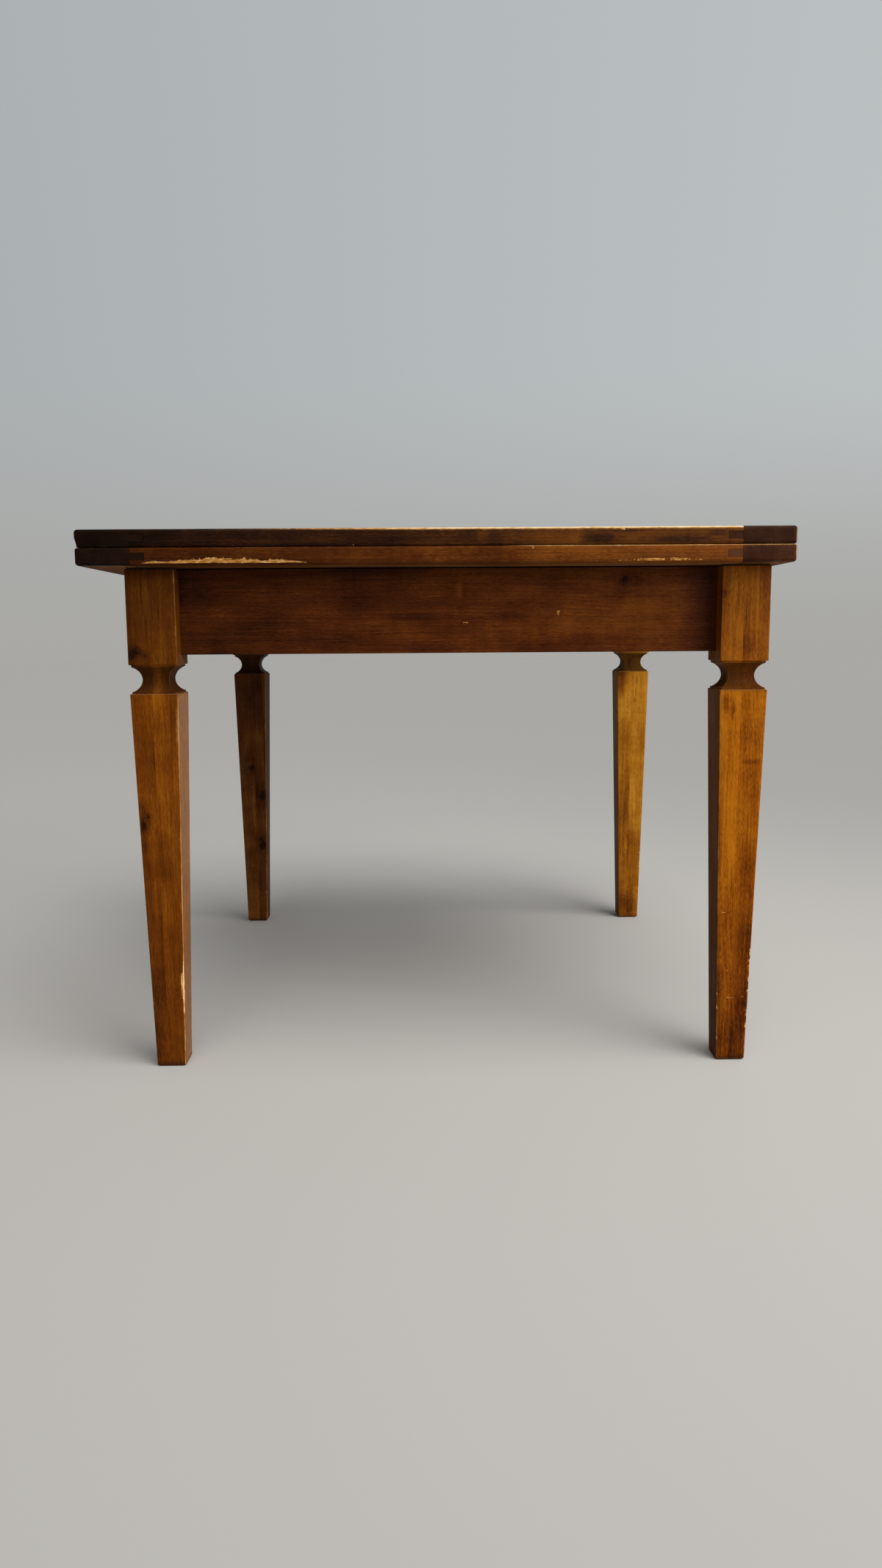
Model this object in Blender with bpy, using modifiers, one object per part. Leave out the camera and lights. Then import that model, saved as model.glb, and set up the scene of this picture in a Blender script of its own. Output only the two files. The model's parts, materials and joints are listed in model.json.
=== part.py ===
"""Book-opening dining table: two equal leaves hinged at one edge, sliding on a frame with four legs.

Sizes are in metres and +Z is up. The origin is on the floor, under the middle of the closed top.
The hinge edge of the top is at +X. To open the table, both leaves slide together towards -X until
the hinge edge is over the middle of the frame, and the upper leaf then turns over to the +X side.
"""

from math import asin, cos, pi, sin, sqrt

import bmesh
import bpy
from mathutils import Matrix, Vector

# The double top
TOP_WIDTH = 1.000
TOP_DEPTH = 1.000
TABLE_HEIGHT = 0.793
LEAF_THICKNESS = 0.0245
LEAF_GAP = 0.0005
OUTER_ARRIS = 0.005
INNER_ARRIS = 0.0035
ARRIS_STEPS = 3
END_WIDTH = 0.076
TONGUE_LENGTH = 0.020
TONGUE_THICKNESS = 0.010
FINGER_BEVEL_DEPTH = 0.004
FINGER_BEVEL_HEIGHT = 0.013
SLIDE_AT_REST = 0.017  # how far the top has been drawn out of its closed place

# The legs
SIDE_OVERHANG = 0.040
FRONT_OVERHANG = 0.040
BLOCK_WIDTH = 0.070
BLOCK_HEIGHT = 0.1355
FILLET_WIDTH = 0.064
UPPER_FILLET_HEIGHT = 0.003
LOWER_FILLET_HEIGHT = 0.0025
COVE_HEIGHT = 0.036
COVE_DEPTH = 0.0125
COVE_STEPS = 10
TAPER_TOP_WIDTH = 0.069
FOOT_WIDTH = 0.0435
FOOT_CHAMFER = 0.003
LEG_ARRIS = 0.0012
FELT_THICKNESS = 0.0014
FELT_MARGIN = 0.002

# The aprons and what stiffens them
APRON_HEIGHT = 0.1215
APRON_THICKNESS = 0.022
APRON_SETBACK = 0.028
APRON_ARRIS = 0.0015
TENON_LENGTH = 0.018
TENON_THICKNESS = 0.010
TENON_SHOULDER = 0.016
CORNER_BLOCK_REACH = 0.050
CORNER_BLOCK_HEIGHT = 0.056
BOLT_RADIUS = 0.004
BOLT_HEAD_RADIUS = 0.0075
BOLT_HEAD_HEIGHT = 0.0055
BOLT_TIP_MARGIN = 0.009
CROSS_RAIL_THICKNESS = 0.022
CROSS_RAIL_HEIGHT = 0.045

# The slide under the lower leaf
GUIDE_WIDTH = 0.030
GUIDE_HEIGHT = 0.042
GROOVE_DEPTH = 0.012
GROOVE_HEIGHT = 0.0125
GROOVE_END_WALL = 0.010
RUNNER_WIDTH = 0.020
RUNNER_BELOW_GROOVE = 0.006
RUNNING_CLEARANCE = 0.0005

# The leaf hinges
HINGE_COUNT = 3
HINGE_END_MARGIN = 0.140
HINGE_LENGTH = 0.036
PLATE_LENGTH = 0.030
PLATE_THICKNESS = 0.0020
LUG_WEB = 0.0020
LINK_THICKNESS = 0.010
PIN_RADIUS = 0.0014
SCREW_SPACING = 0.020
SCREW_HEAD_RADIUS = 0.0032
SCREW_HEAD_HEIGHT = 0.0016
SCREW_RADIUS = 0.0016
SCREW_LENGTH = 0.013
ROUND_STEPS = 16

# Gap left between pieces that touch, and how far a cutter runs past what it cuts
CLEARANCE = 0.0003
OVERCUT = 0.020

# Heights
TOP_UNDERSIDE = TABLE_HEIGHT - 2 * LEAF_THICKNESS - LEAF_GAP
LOWER_INNER_FACE = TOP_UNDERSIDE + LEAF_THICKNESS
UPPER_INNER_FACE = LOWER_INNER_FACE + LEAF_GAP
LEG_HEIGHT = TOP_UNDERSIDE - FELT_THICKNESS - 2 * CLEARANCE
APRON_BOTTOM = LEG_HEIGHT - APRON_HEIGHT
GUIDE_BOTTOM = LEG_HEIGHT - GUIDE_HEIGHT
GROOVE_MIDDLE = LEG_HEIGHT - GUIDE_HEIGHT / 2

# Places across the frame, measured from its middle
FRAME_WIDTH = TOP_WIDTH - 2 * SIDE_OVERHANG
FRAME_DEPTH = TOP_DEPTH - 2 * FRONT_OVERHANG
FRAME_MIDDLE = SLIDE_AT_REST
LEG_X = (FRAME_WIDTH - BLOCK_WIDTH) / 2
LEG_Y = (FRAME_DEPTH - BLOCK_WIDTH) / 2
LEG_INNER_X = FRAME_WIDTH / 2 - BLOCK_WIDTH
LEG_INNER_Y = FRAME_DEPTH / 2 - BLOCK_WIDTH
APRON_X = FRAME_WIDTH / 2 - APRON_SETBACK - APRON_THICKNESS / 2
APRON_Y = FRAME_DEPTH / 2 - APRON_SETBACK - APRON_THICKNESS / 2
APRON_INNER_X = APRON_X - APRON_THICKNESS / 2
APRON_INNER_Y = APRON_Y - APRON_THICKNESS / 2
GUIDE_INNER_Y = APRON_INNER_Y - CLEARANCE - GUIDE_WIDTH
GUIDE_HALF_LENGTH = LEG_INNER_X - CLEARANCE
GROOVE_HALF_LENGTH = GUIDE_HALF_LENGTH - GROOVE_END_WALL

# The slide's travel takes the hinge edge from its closed place to the middle of the frame
TRAVEL = TOP_WIDTH / 2
TONGUE_RUN = 2 * GROOVE_HALF_LENGTH - TRAVEL - 2 * RUNNING_CLEARANCE
RUNNER_RIGHT = GROOVE_HALF_LENGTH - RUNNING_CLEARANCE
RUNNER_LEFT = RUNNER_RIGHT - TONGUE_RUN
RUNNER_OUTER_Y = GUIDE_INNER_Y - RUNNING_CLEARANCE
RUNNER_INNER_Y = RUNNER_OUTER_Y - RUNNER_WIDTH
RUNNER_BOTTOM = GROOVE_MIDDLE - GROOVE_HEIGHT / 2 - RUNNER_BELOW_GROOVE

# The upper leaf turns about the line where the two leaves meet at the hinge edge
FOLD_X = TOP_WIDTH / 2 + LEAF_GAP / 2
FOLD_Z = LOWER_INNER_FACE + LEAF_GAP / 2

# Each leaf holds a pin at the centre of its rounded inner arris, and a link joins the two pins. The
# pins draw apart by this travel when the leaf is half way over, so the link's upper eye is a slot.
PIN_X = TOP_WIDTH / 2 - INNER_ARRIS
LOWER_PIN_Z = LOWER_INNER_FACE - INNER_ARRIS
UPPER_PIN_Z = UPPER_INNER_FACE + INNER_ARRIS
SLOT_TRAVEL = (UPPER_PIN_Z - LOWER_PIN_Z) * (sqrt(2) - 1)
KNUCKLE_RADIUS = INNER_ARRIS - CLEARANCE
LINK_SWEEP = KNUCKLE_RADIUS + SLOT_TRAVEL
LUG_BACK_X = PIN_X - LINK_SWEEP - CLEARANCE - LUG_WEB
PLATE_END_X = LUG_BACK_X - PLATE_LENGTH
SCREW_X = LUG_BACK_X - PLATE_LENGTH / 2
HINGE_SPACING = (TOP_DEPTH - 2 * HINGE_END_MARGIN) / (HINGE_COUNT - 1)

SIDES = {"left": -1, "right": 1}
ENDS = {"front": -1, "rear": 1}


def remove_everything():
    for thing in list(bpy.data.objects):
        bpy.data.objects.remove(thing)


def new_collection(name):
    group = bpy.data.collections.new(name)
    bpy.context.scene.collection.children.link(group)
    return group


def finish(name, colour, roughness, metallic=0.0):
    material = bpy.data.materials.new(name)
    material.use_nodes = True
    shader = material.node_tree.nodes["Principled BSDF"]
    shader.inputs["Base Color"].default_value = (*colour, 1.0)
    shader.inputs["Roughness"].default_value = roughness
    shader.inputs["Metallic"].default_value = metallic
    return material


def body_empty(name, place):
    """Empty on a joint's axis that carries the pieces of one body."""
    empty = bpy.data.objects.new(name, None)
    empty.location = place
    PARTS.objects.link(empty)
    return empty


def add_part(name, mesh, place, body, material):
    part = bpy.data.objects.new(name, mesh)
    part.parent = body
    part.location = Vector(place) - body.location
    mesh.materials.clear()
    mesh.materials.append(material)
    PARTS.objects.link(part)
    return part


def add_tool(name, mesh, place=(0, 0, 0)):
    """Shape that only cuts or joins another piece."""
    tool = bpy.data.objects.new(name, mesh)
    tool.location = place
    tool.hide_render = True
    tool.display_type = "WIRE"
    TOOLS.objects.link(tool)
    return tool


def combine(part, tool, operation):
    modifier = part.modifiers.new(tool.name, "BOOLEAN")
    modifier.operation = operation
    modifier.solver = "EXACT"
    modifier.object = tool


def box_mesh(name, size):
    mesh = bpy.data.meshes.new(name)
    shape = bmesh.new()
    bmesh.ops.create_cube(shape, size=1.0, matrix=Matrix.Diagonal((*size, 1.0)))
    shape.to_mesh(mesh)
    shape.free()
    return mesh


def middle_and_size(low, high):
    low = Vector(low)
    high = Vector(high)
    return (low + high) / 2, high - low


def add_box(name, low, high, body, material):
    middle, size = middle_and_size(low, high)
    return add_part(name, box_mesh(name, size), middle, body, material)


def box_tool(name, low, high):
    middle, size = middle_and_size(low, high)
    return add_tool(name, box_mesh(name, size), middle)


def cut_box(part, low, high):
    combine(part, box_tool(part.name + "_cut", low, high), "DIFFERENCE")


def join_box(part, low, high):
    combine(part, box_tool(part.name + "_joined", low, high), "UNION")


def cylinder_mesh(name, radius, length, turn=None, sides=ROUND_STEPS):
    """Cylinder along Z about its own middle, turned by a matrix."""
    mesh = bpy.data.meshes.new(name)
    shape = bmesh.new()
    bmesh.ops.create_cone(
        shape, cap_ends=True, segments=sides, radius1=radius, radius2=radius, depth=length
    )
    shape.to_mesh(mesh)
    shape.free()
    if turn:
        mesh.transform(turn)
    return mesh


def turned_object(name, profile, steps):
    """Object with a profile of (radius, height) points, listed down its outer side, spun about Z."""
    mesh = bpy.data.meshes.new(name)
    points = [(radius, 0.0, height) for radius, height in profile]
    edges = [(index, index + 1) for index in range(len(points) - 1)]
    mesh.from_pydata(points, edges, [])
    spun = bpy.data.objects.new(name, mesh)
    screw = spun.modifiers.new("spin", "SCREW")
    screw.steps = steps
    screw.render_steps = steps
    screw.use_merge_vertices = True
    screw.merge_threshold = 0.00001
    return spun


def evaluated_mesh(source, name):
    """Plain mesh of an object that is not kept, with its doubled points merged."""
    bpy.context.scene.collection.objects.link(source)
    evaluated = source.evaluated_get(bpy.context.evaluated_depsgraph_get())
    mesh = bpy.data.meshes.new_from_object(evaluated)
    mesh.name = name
    bpy.data.objects.remove(source)
    shape = bmesh.new()
    shape.from_mesh(mesh)
    bmesh.ops.remove_doubles(shape, verts=shape.verts, dist=0.00001)
    bmesh.ops.recalc_face_normals(shape, faces=shape.faces)
    shape.to_mesh(mesh)
    shape.free()
    return mesh


def flat_mesh(name, outlines, thickness, turn=None):
    """Plate from closed XY outlines, the later ones being holes, with its thickness along Z."""
    curve = bpy.data.curves.new(name, "CURVE")
    curve.dimensions = "2D"
    curve.fill_mode = "BOTH"
    curve.extrude = thickness / 2
    for outline in outlines:
        spline = curve.splines.new("POLY")
        spline.points.add(len(outline) - 1)
        for point, (x, y) in zip(spline.points, outline):
            point.co = (x, y, 0.0, 1.0)
        spline.use_cyclic_u = True
    mesh = evaluated_mesh(bpy.data.objects.new(name, curve), name)
    if turn:
        mesh.transform(turn)
    return mesh


def arc(centre_x, centre_y, radius, start, end, steps):
    """Points of a circular arc from one angle to another, both included."""
    angles = [start + (end - start) * step / steps for step in range(steps + 1)]
    return [(centre_x + radius * cos(a), centre_y + radius * sin(a)) for a in angles]


def circle(centre_x, centre_y, radius):
    return arc(centre_x, centre_y, radius, 0.0, 2 * pi, ROUND_STEPS)[:-1]


# An outline drawn in XY stands up as XZ, with its thickness along Y
STAND_XZ = Matrix.Rotation(pi / 2, 4, "X")
# An outline drawn in XY stands up as YZ, with its thickness along X
STAND_YZ = Matrix(((0, 0, 1, 0), (1, 0, 0, 0), (0, 1, 0, 0), (0, 0, 0, 1)))


def leg_profile():
    """Half-widths and heights of a square leg, from the middle of its top to the middle of its foot."""
    block = BLOCK_WIDTH / 2
    fillet = FILLET_WIDTH / 2
    taper = TAPER_TOP_WIDTH / 2
    foot = FOOT_WIDTH / 2
    block_bottom = LEG_HEIGHT - BLOCK_HEIGHT
    cove_top = block_bottom - UPPER_FILLET_HEIGHT
    cove_bottom = cove_top - COVE_HEIGHT
    taper_top = cove_bottom - LOWER_FILLET_HEIGHT
    radius = (COVE_HEIGHT**2 / 4 + COVE_DEPTH**2) / (2 * COVE_DEPTH)
    half_angle = asin(COVE_HEIGHT / (2 * radius))
    cove_x = fillet - COVE_DEPTH + radius
    cove_z = cove_top - COVE_HEIGHT / 2
    cove = arc(cove_x, cove_z, radius, pi - half_angle, pi + half_angle, COVE_STEPS)
    return [
        (0.0, LEG_HEIGHT),
        (block, LEG_HEIGHT),
        (block, block_bottom),
        (fillet, block_bottom),
        *cove,
        (fillet, taper_top),
        (taper, taper_top),
        (foot, FOOT_CHAMFER),
        (foot - FOOT_CHAMFER, 0.0),
        (0.0, 0.0),
    ]


def add_leg(side, end):
    """Square leg: a block, a square cove cut in on all four sides, and a long taper to the foot."""
    name = f"leg_{end}_{side}"
    corners = [(half * sqrt(2), height) for half, height in leg_profile()]
    mesh = evaluated_mesh(turned_object(name, corners, 4), name)
    mesh.transform(Matrix.Rotation(pi / 4, 4, "Z"))
    x_sign = SIDES[side]
    y_sign = ENDS[end]
    x = FRAME_MIDDLE + x_sign * LEG_X
    y = y_sign * LEG_Y
    leg = add_part(name, mesh, (x, y, 0.0), FRAME, WALNUT)
    bevel = leg.modifiers.new("arris", "BEVEL")
    bevel.width = LEG_ARRIS
    bevel.segments = 2
    bevel.limit_method = "ANGLE"
    bevel.angle_limit = pi / 4
    mortise = TENON_THICKNESS / 2 + CLEARANCE
    depth = TENON_LENGTH + CLEARANCE
    low_z = APRON_BOTTOM + TENON_SHOULDER - CLEARANCE
    high_z = LEG_HEIGHT - TENON_SHOULDER + CLEARANCE
    inner_x = FRAME_MIDDLE + x_sign * LEG_INNER_X
    inner_y = y_sign * LEG_INNER_Y
    cut_span(
        leg,
        (inner_x - x_sign * OVERCUT, inner_x + x_sign * depth),
        (y_sign * (APRON_Y - mortise), y_sign * (APRON_Y + mortise)),
        (low_z, high_z),
    )
    cut_span(
        leg,
        (FRAME_MIDDLE + x_sign * (APRON_X - mortise), FRAME_MIDDLE + x_sign * (APRON_X + mortise)),
        (inner_y - y_sign * OVERCUT, inner_y + y_sign * depth),
        (low_z, high_z),
    )
    bolt_hole(leg, x_sign, y_sign)


def span_corners(*spans):
    return [min(span) for span in spans], [max(span) for span in spans]


def cut_span(part, x_span, y_span, z_span):
    cut_box(part, *span_corners(x_span, y_span, z_span))


# The bolt runs level on the diagonal of a corner, from the block's face towards the leg's middle
BOLT_Z = GUIDE_BOTTOM - CLEARANCE - CORNER_BLOCK_HEIGHT / 2
BLOCK_RECESS = BLOCK_WIDTH - APRON_SETBACK - APRON_THICKNESS
TENON_CHEEK = BLOCK_WIDTH - APRON_SETBACK - (APRON_THICKNESS + TENON_THICKNESS) / 2
BOLT_SEAT = CLEARANCE + (CORNER_BLOCK_REACH - BLOCK_RECESS) / 2
BOLT_TIP = TENON_CHEEK - BOLT_TIP_MARGIN


def diagonal_turn(x_sign, y_sign):
    """Turns +Z to the level diagonal that points out of the frame at one corner."""
    return Vector((x_sign, y_sign, 0.0)).to_track_quat("Z", "Y").to_matrix().to_4x4()


def diagonal_place(x_sign, y_sign, outward):
    """Point on a corner's diagonal, a distance per axis outward from the leg's inner corner."""
    x = FRAME_MIDDLE + x_sign * (LEG_INNER_X + outward)
    y = y_sign * (LEG_INNER_Y + outward)
    return x, y, BOLT_Z


def bolt_hole(part, x_sign, y_sign):
    tip = BOLT_TIP + CLEARANCE
    start = -BOLT_SEAT - OVERCUT
    mesh = cylinder_mesh(
        part.name + "_bolt_hole",
        BOLT_RADIUS + CLEARANCE,
        (tip - start) * sqrt(2),
        diagonal_turn(x_sign, y_sign),
    )
    place = diagonal_place(x_sign, y_sign, (tip + start) / 2)
    combine(part, add_tool(mesh.name, mesh, place), "DIFFERENCE")


def add_corner(side, end):
    """Corner block screwed up in the angle of two aprons, with the bolt that draws the leg in."""
    x_sign = SIDES[side]
    y_sign = ENDS[end]
    beside_leg = (LEG_INNER_X - CLEARANCE, LEG_INNER_Y - CLEARANCE)
    on_aprons = (APRON_INNER_X - CLEARANCE, APRON_INNER_Y - CLEARANCE)
    quarter = [
        (beside_leg[0], on_aprons[1]),
        (beside_leg[0] - CORNER_BLOCK_REACH, on_aprons[1]),
        (on_aprons[0], beside_leg[1] - CORNER_BLOCK_REACH),
        (on_aprons[0], beside_leg[1]),
        beside_leg,
    ]
    outline = [(x_sign * x, y_sign * y) for x, y in quarter]
    name = f"corner_block_{end}_{side}"
    mesh = flat_mesh(name, [outline], CORNER_BLOCK_HEIGHT)
    block = add_part(name, mesh, (FRAME_MIDDLE, 0.0, BOLT_Z), FRAME, BEECH)
    bolt_hole(block, x_sign, y_sign)
    name = f"corner_bolt_{end}_{side}"
    turn = diagonal_turn(x_sign, y_sign)
    head_middle = -BOLT_SEAT - CLEARANCE - BOLT_HEAD_HEIGHT / 2 / sqrt(2)
    shank = cylinder_mesh(name, BOLT_RADIUS, (BOLT_TIP - head_middle) * sqrt(2), turn)
    place = diagonal_place(x_sign, y_sign, (BOLT_TIP + head_middle) / 2)
    bolt = add_part(name, shank, place, FRAME, STEEL)
    head = cylinder_mesh(name + "_head", BOLT_HEAD_RADIUS, BOLT_HEAD_HEIGHT, turn, sides=6)
    head_place = diagonal_place(x_sign, y_sign, head_middle)
    combine(bolt, add_tool(head.name, head, head_place), "UNION")


def soften_lower_edges(apron):
    bevel = apron.modifiers.new("arris", "BEVEL")
    bevel.width = APRON_ARRIS
    bevel.segments = 2
    bevel.limit_method = "WEIGHT"


def weigh_edges(mesh, weight_of):
    """Gives each edge of a box the bevel weight that a rule finds from its place on the box."""
    shape = bmesh.new()
    shape.from_mesh(mesh)
    weights = shape.edges.layers.float.new("bevel_weight_edge")
    for edge in shape.edges:
        middle = (edge.verts[0].co + edge.verts[1].co) / 2
        sides = [0 if abs(value) < OVERCUT / 1000 else (1 if value > 0 else -1) for value in middle]
        edge[weights] = weight_of(*sides)
    shape.to_mesh(mesh)
    shape.free()


def add_long_apron(end):
    """Apron along X, tenoned into the legs at both ends."""
    y = ENDS[end] * APRON_Y
    half = LEG_INNER_X - CLEARANCE
    thick = APRON_THICKNESS / 2
    apron = add_box(
        f"apron_{end}",
        (FRAME_MIDDLE - half, y - thick, APRON_BOTTOM),
        (FRAME_MIDDLE + half, y + thick, LEG_HEIGHT),
        FRAME,
        WALNUT,
    )
    weigh_edges(apron.data, lambda x, y, z: 1.0 if z < 0 and x == 0 else 0.0)
    soften_lower_edges(apron)
    reach = LEG_INNER_X + TENON_LENGTH
    cheek = TENON_THICKNESS / 2
    join_box(
        apron,
        (FRAME_MIDDLE - reach, y - cheek, APRON_BOTTOM + TENON_SHOULDER),
        (FRAME_MIDDLE + reach, y + cheek, LEG_HEIGHT - TENON_SHOULDER),
    )


def add_short_apron(side):
    """Apron along Y, tenoned into the legs at both ends."""
    x = FRAME_MIDDLE + SIDES[side] * APRON_X
    half = LEG_INNER_Y - CLEARANCE
    thick = APRON_THICKNESS / 2
    apron = add_box(
        f"apron_{side}",
        (x - thick, -half, APRON_BOTTOM),
        (x + thick, half, LEG_HEIGHT),
        FRAME,
        WALNUT,
    )
    weigh_edges(apron.data, lambda x, y, z: 1.0 if z < 0 and y == 0 else 0.0)
    soften_lower_edges(apron)
    reach = LEG_INNER_Y + TENON_LENGTH
    cheek = TENON_THICKNESS / 2
    join_box(
        apron,
        (x - cheek, -reach, APRON_BOTTOM + TENON_SHOULDER),
        (x + cheek, reach, LEG_HEIGHT - TENON_SHOULDER),
    )


def add_leg_felt(side, end):
    """Thin felt on top of a leg, on which the leaves slide and rest."""
    half = BLOCK_WIDTH / 2 - FELT_MARGIN
    x = FRAME_MIDDLE + SIDES[side] * LEG_X
    y = ENDS[end] * LEG_Y
    low_z = LEG_HEIGHT + CLEARANCE
    add_box(
        f"leg_felt_{end}_{side}",
        (x - half, y - half, low_z),
        (x + half, y + half, low_z + FELT_THICKNESS),
        FRAME,
        FELT,
    )


def add_cross_rail():
    """Rail under the middle of the frame that carries the hinge edge when the table is open."""
    end_y = APRON_INNER_Y - CLEARANCE
    step_y = RUNNER_INNER_Y - RUNNING_CLEARANCE - CROSS_RAIL_THICKNESS / 2
    low_z = GUIDE_BOTTOM - CLEARANCE
    half_outline = [
        (end_y, low_z - CROSS_RAIL_HEIGHT),
        (end_y, low_z),
        (step_y, low_z),
        (step_y, LEG_HEIGHT),
    ]
    other_half = [(-y, z) for y, z in reversed(half_outline)]
    mesh = flat_mesh("cross_rail", [half_outline + other_half], CROSS_RAIL_THICKNESS, STAND_YZ)
    add_part("cross_rail", mesh, (FRAME_MIDDLE, 0.0, 0.0), FRAME, BEECH)


def add_guide_rail(end):
    """Grooved rail inside a long apron; the groove's closed ends are the slide's stops."""
    y_sign = ENDS[end]
    outer_y = APRON_INNER_Y - CLEARANCE
    corners = span_corners(
        (FRAME_MIDDLE - GUIDE_HALF_LENGTH, FRAME_MIDDLE + GUIDE_HALF_LENGTH),
        (y_sign * GUIDE_INNER_Y, y_sign * outer_y),
        (GUIDE_BOTTOM, LEG_HEIGHT),
    )
    rail = add_box(f"guide_rail_{end}", *corners, FRAME, BEECH)
    cut_span(
        rail,
        (FRAME_MIDDLE - GROOVE_HALF_LENGTH, FRAME_MIDDLE + GROOVE_HALF_LENGTH),
        (y_sign * (GUIDE_INNER_Y - OVERCUT), y_sign * (GUIDE_INNER_Y + GROOVE_DEPTH)),
        (GROOVE_MIDDLE - GROOVE_HEIGHT / 2, GROOVE_MIDDLE + GROOVE_HEIGHT / 2),
    )


def add_runner(end):
    """Batten under the lower leaf whose tongue runs in the groove of a guide rail."""
    y_sign = ENDS[end]
    corners = span_corners(
        (RUNNER_LEFT, RUNNER_RIGHT),
        (y_sign * RUNNER_INNER_Y, y_sign * RUNNER_OUTER_Y),
        (RUNNER_BOTTOM, TOP_UNDERSIDE - CLEARANCE),
    )
    runner = add_box(f"runner_{end}", *corners, LOWER_LEAF, BEECH)
    tongue_tip = GUIDE_INNER_Y + GROOVE_DEPTH - RUNNING_CLEARANCE
    half_tongue = GROOVE_HEIGHT / 2 - RUNNING_CLEARANCE
    tongue = span_corners(
        (RUNNER_LEFT, RUNNER_RIGHT),
        (y_sign * (RUNNER_INNER_Y + RUNNER_WIDTH / 2), y_sign * tongue_tip),
        (GROOVE_MIDDLE - half_tongue, GROOVE_MIDDLE + half_tongue),
    )
    join_box(runner, *tongue)


def round_leaf_edges(piece, rounded):
    bevel = piece.modifiers.new("arris", "BEVEL")
    bevel.width = OUTER_ARRIS
    bevel.segments = ARRIS_STEPS
    bevel.limit_method = "WEIGHT"
    weigh_edges(piece.data, rounded)


def add_leaf(leaf, body, bottom, outer):
    """Panel with its grain along X and a tongued end across each side; outer is the seen face's sign."""
    top = bottom + LEAF_THICKNESS
    middle_z = (bottom + top) / 2
    half_width = TOP_WIDTH / 2
    half_depth = TOP_DEPTH / 2
    shoulder = half_width - END_WIDTH
    tongue = TONGUE_THICKNESS / 2
    inner_weight = INNER_ARRIS / OUTER_ARRIS

    def face_weight(z):
        return 1.0 if z in (0, outer) else inner_weight

    panel_half = shoulder - CLEARANCE
    panel = add_box(
        f"{leaf}_panel", (-panel_half, -half_depth, bottom), (panel_half, half_depth, top), body, WALNUT
    )
    round_leaf_edges(panel, lambda x, y, z: face_weight(z) if x == 0 else 0.0)
    pieces = {"panel": panel}
    for side, sign in SIDES.items():
        cut_span(
            panel,
            (sign * (shoulder - TONGUE_LENGTH - CLEARANCE), sign * (shoulder + OVERCUT)),
            (-half_depth - OVERCUT, half_depth + OVERCUT),
            (middle_z - tongue - CLEARANCE, middle_z + tongue + CLEARANCE),
        )
        corners = span_corners(
            (sign * shoulder, sign * half_width), (-half_depth, half_depth), (bottom, top)
        )
        end = add_box(f"{leaf}_end_{side}", *corners, body, WALNUT)
        round_leaf_edges(end, lambda x, y, z, sign=sign: face_weight(z) if x != -sign else 0.0)
        tongue_root = shoulder + END_WIDTH / 2
        tongue_box = span_corners(
            (sign * (shoulder - TONGUE_LENGTH), sign * tongue_root),
            (-half_depth + CLEARANCE, half_depth - CLEARANCE),
            (middle_z - tongue, middle_z + tongue),
        )
        join_box(end, *tongue_box)
        pieces[side] = end
    return pieces


def cut_finger_bevel(end):
    """Undercut along the free edge of the upper leaf, where fingers lift it."""
    edge_x = -TOP_WIDTH / 2
    low_z = UPPER_INNER_FACE
    wedge = [
        (edge_x - OVERCUT, low_z - OVERCUT),
        (edge_x + FINGER_BEVEL_DEPTH * (1 + OVERCUT / FINGER_BEVEL_HEIGHT), low_z - OVERCUT),
        (edge_x, low_z + FINGER_BEVEL_HEIGHT),
        (edge_x - OVERCUT, low_z + FINGER_BEVEL_HEIGHT),
    ]
    mesh = flat_mesh(end.name + "_finger_bevel", [wedge], TOP_DEPTH + 2 * OVERCUT, STAND_XZ)
    combine(end, add_tool(mesh.name, mesh), "DIFFERENCE")


def screw_profile(grow, head_rise):
    """Radii and depths of a countersunk screw, driven down from height zero."""
    head = SCREW_HEAD_RADIUS + grow
    shank = SCREW_RADIUS + grow
    tip = -SCREW_LENGTH - grow
    return [
        (0.0, head_rise),
        (head, head_rise),
        (head, 0.0),
        (shank, -SCREW_HEAD_HEIGHT),
        (shank, tip + SCREW_RADIUS),
        (0.0, tip),
    ]


def screw_mesh(name, grow, head_rise, facing):
    mesh = evaluated_mesh(turned_object(name, screw_profile(grow, head_rise), ROUND_STEPS), name)
    if facing < 0:
        mesh.transform(Matrix.Rotation(pi, 4, "X"))
    return mesh


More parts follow.
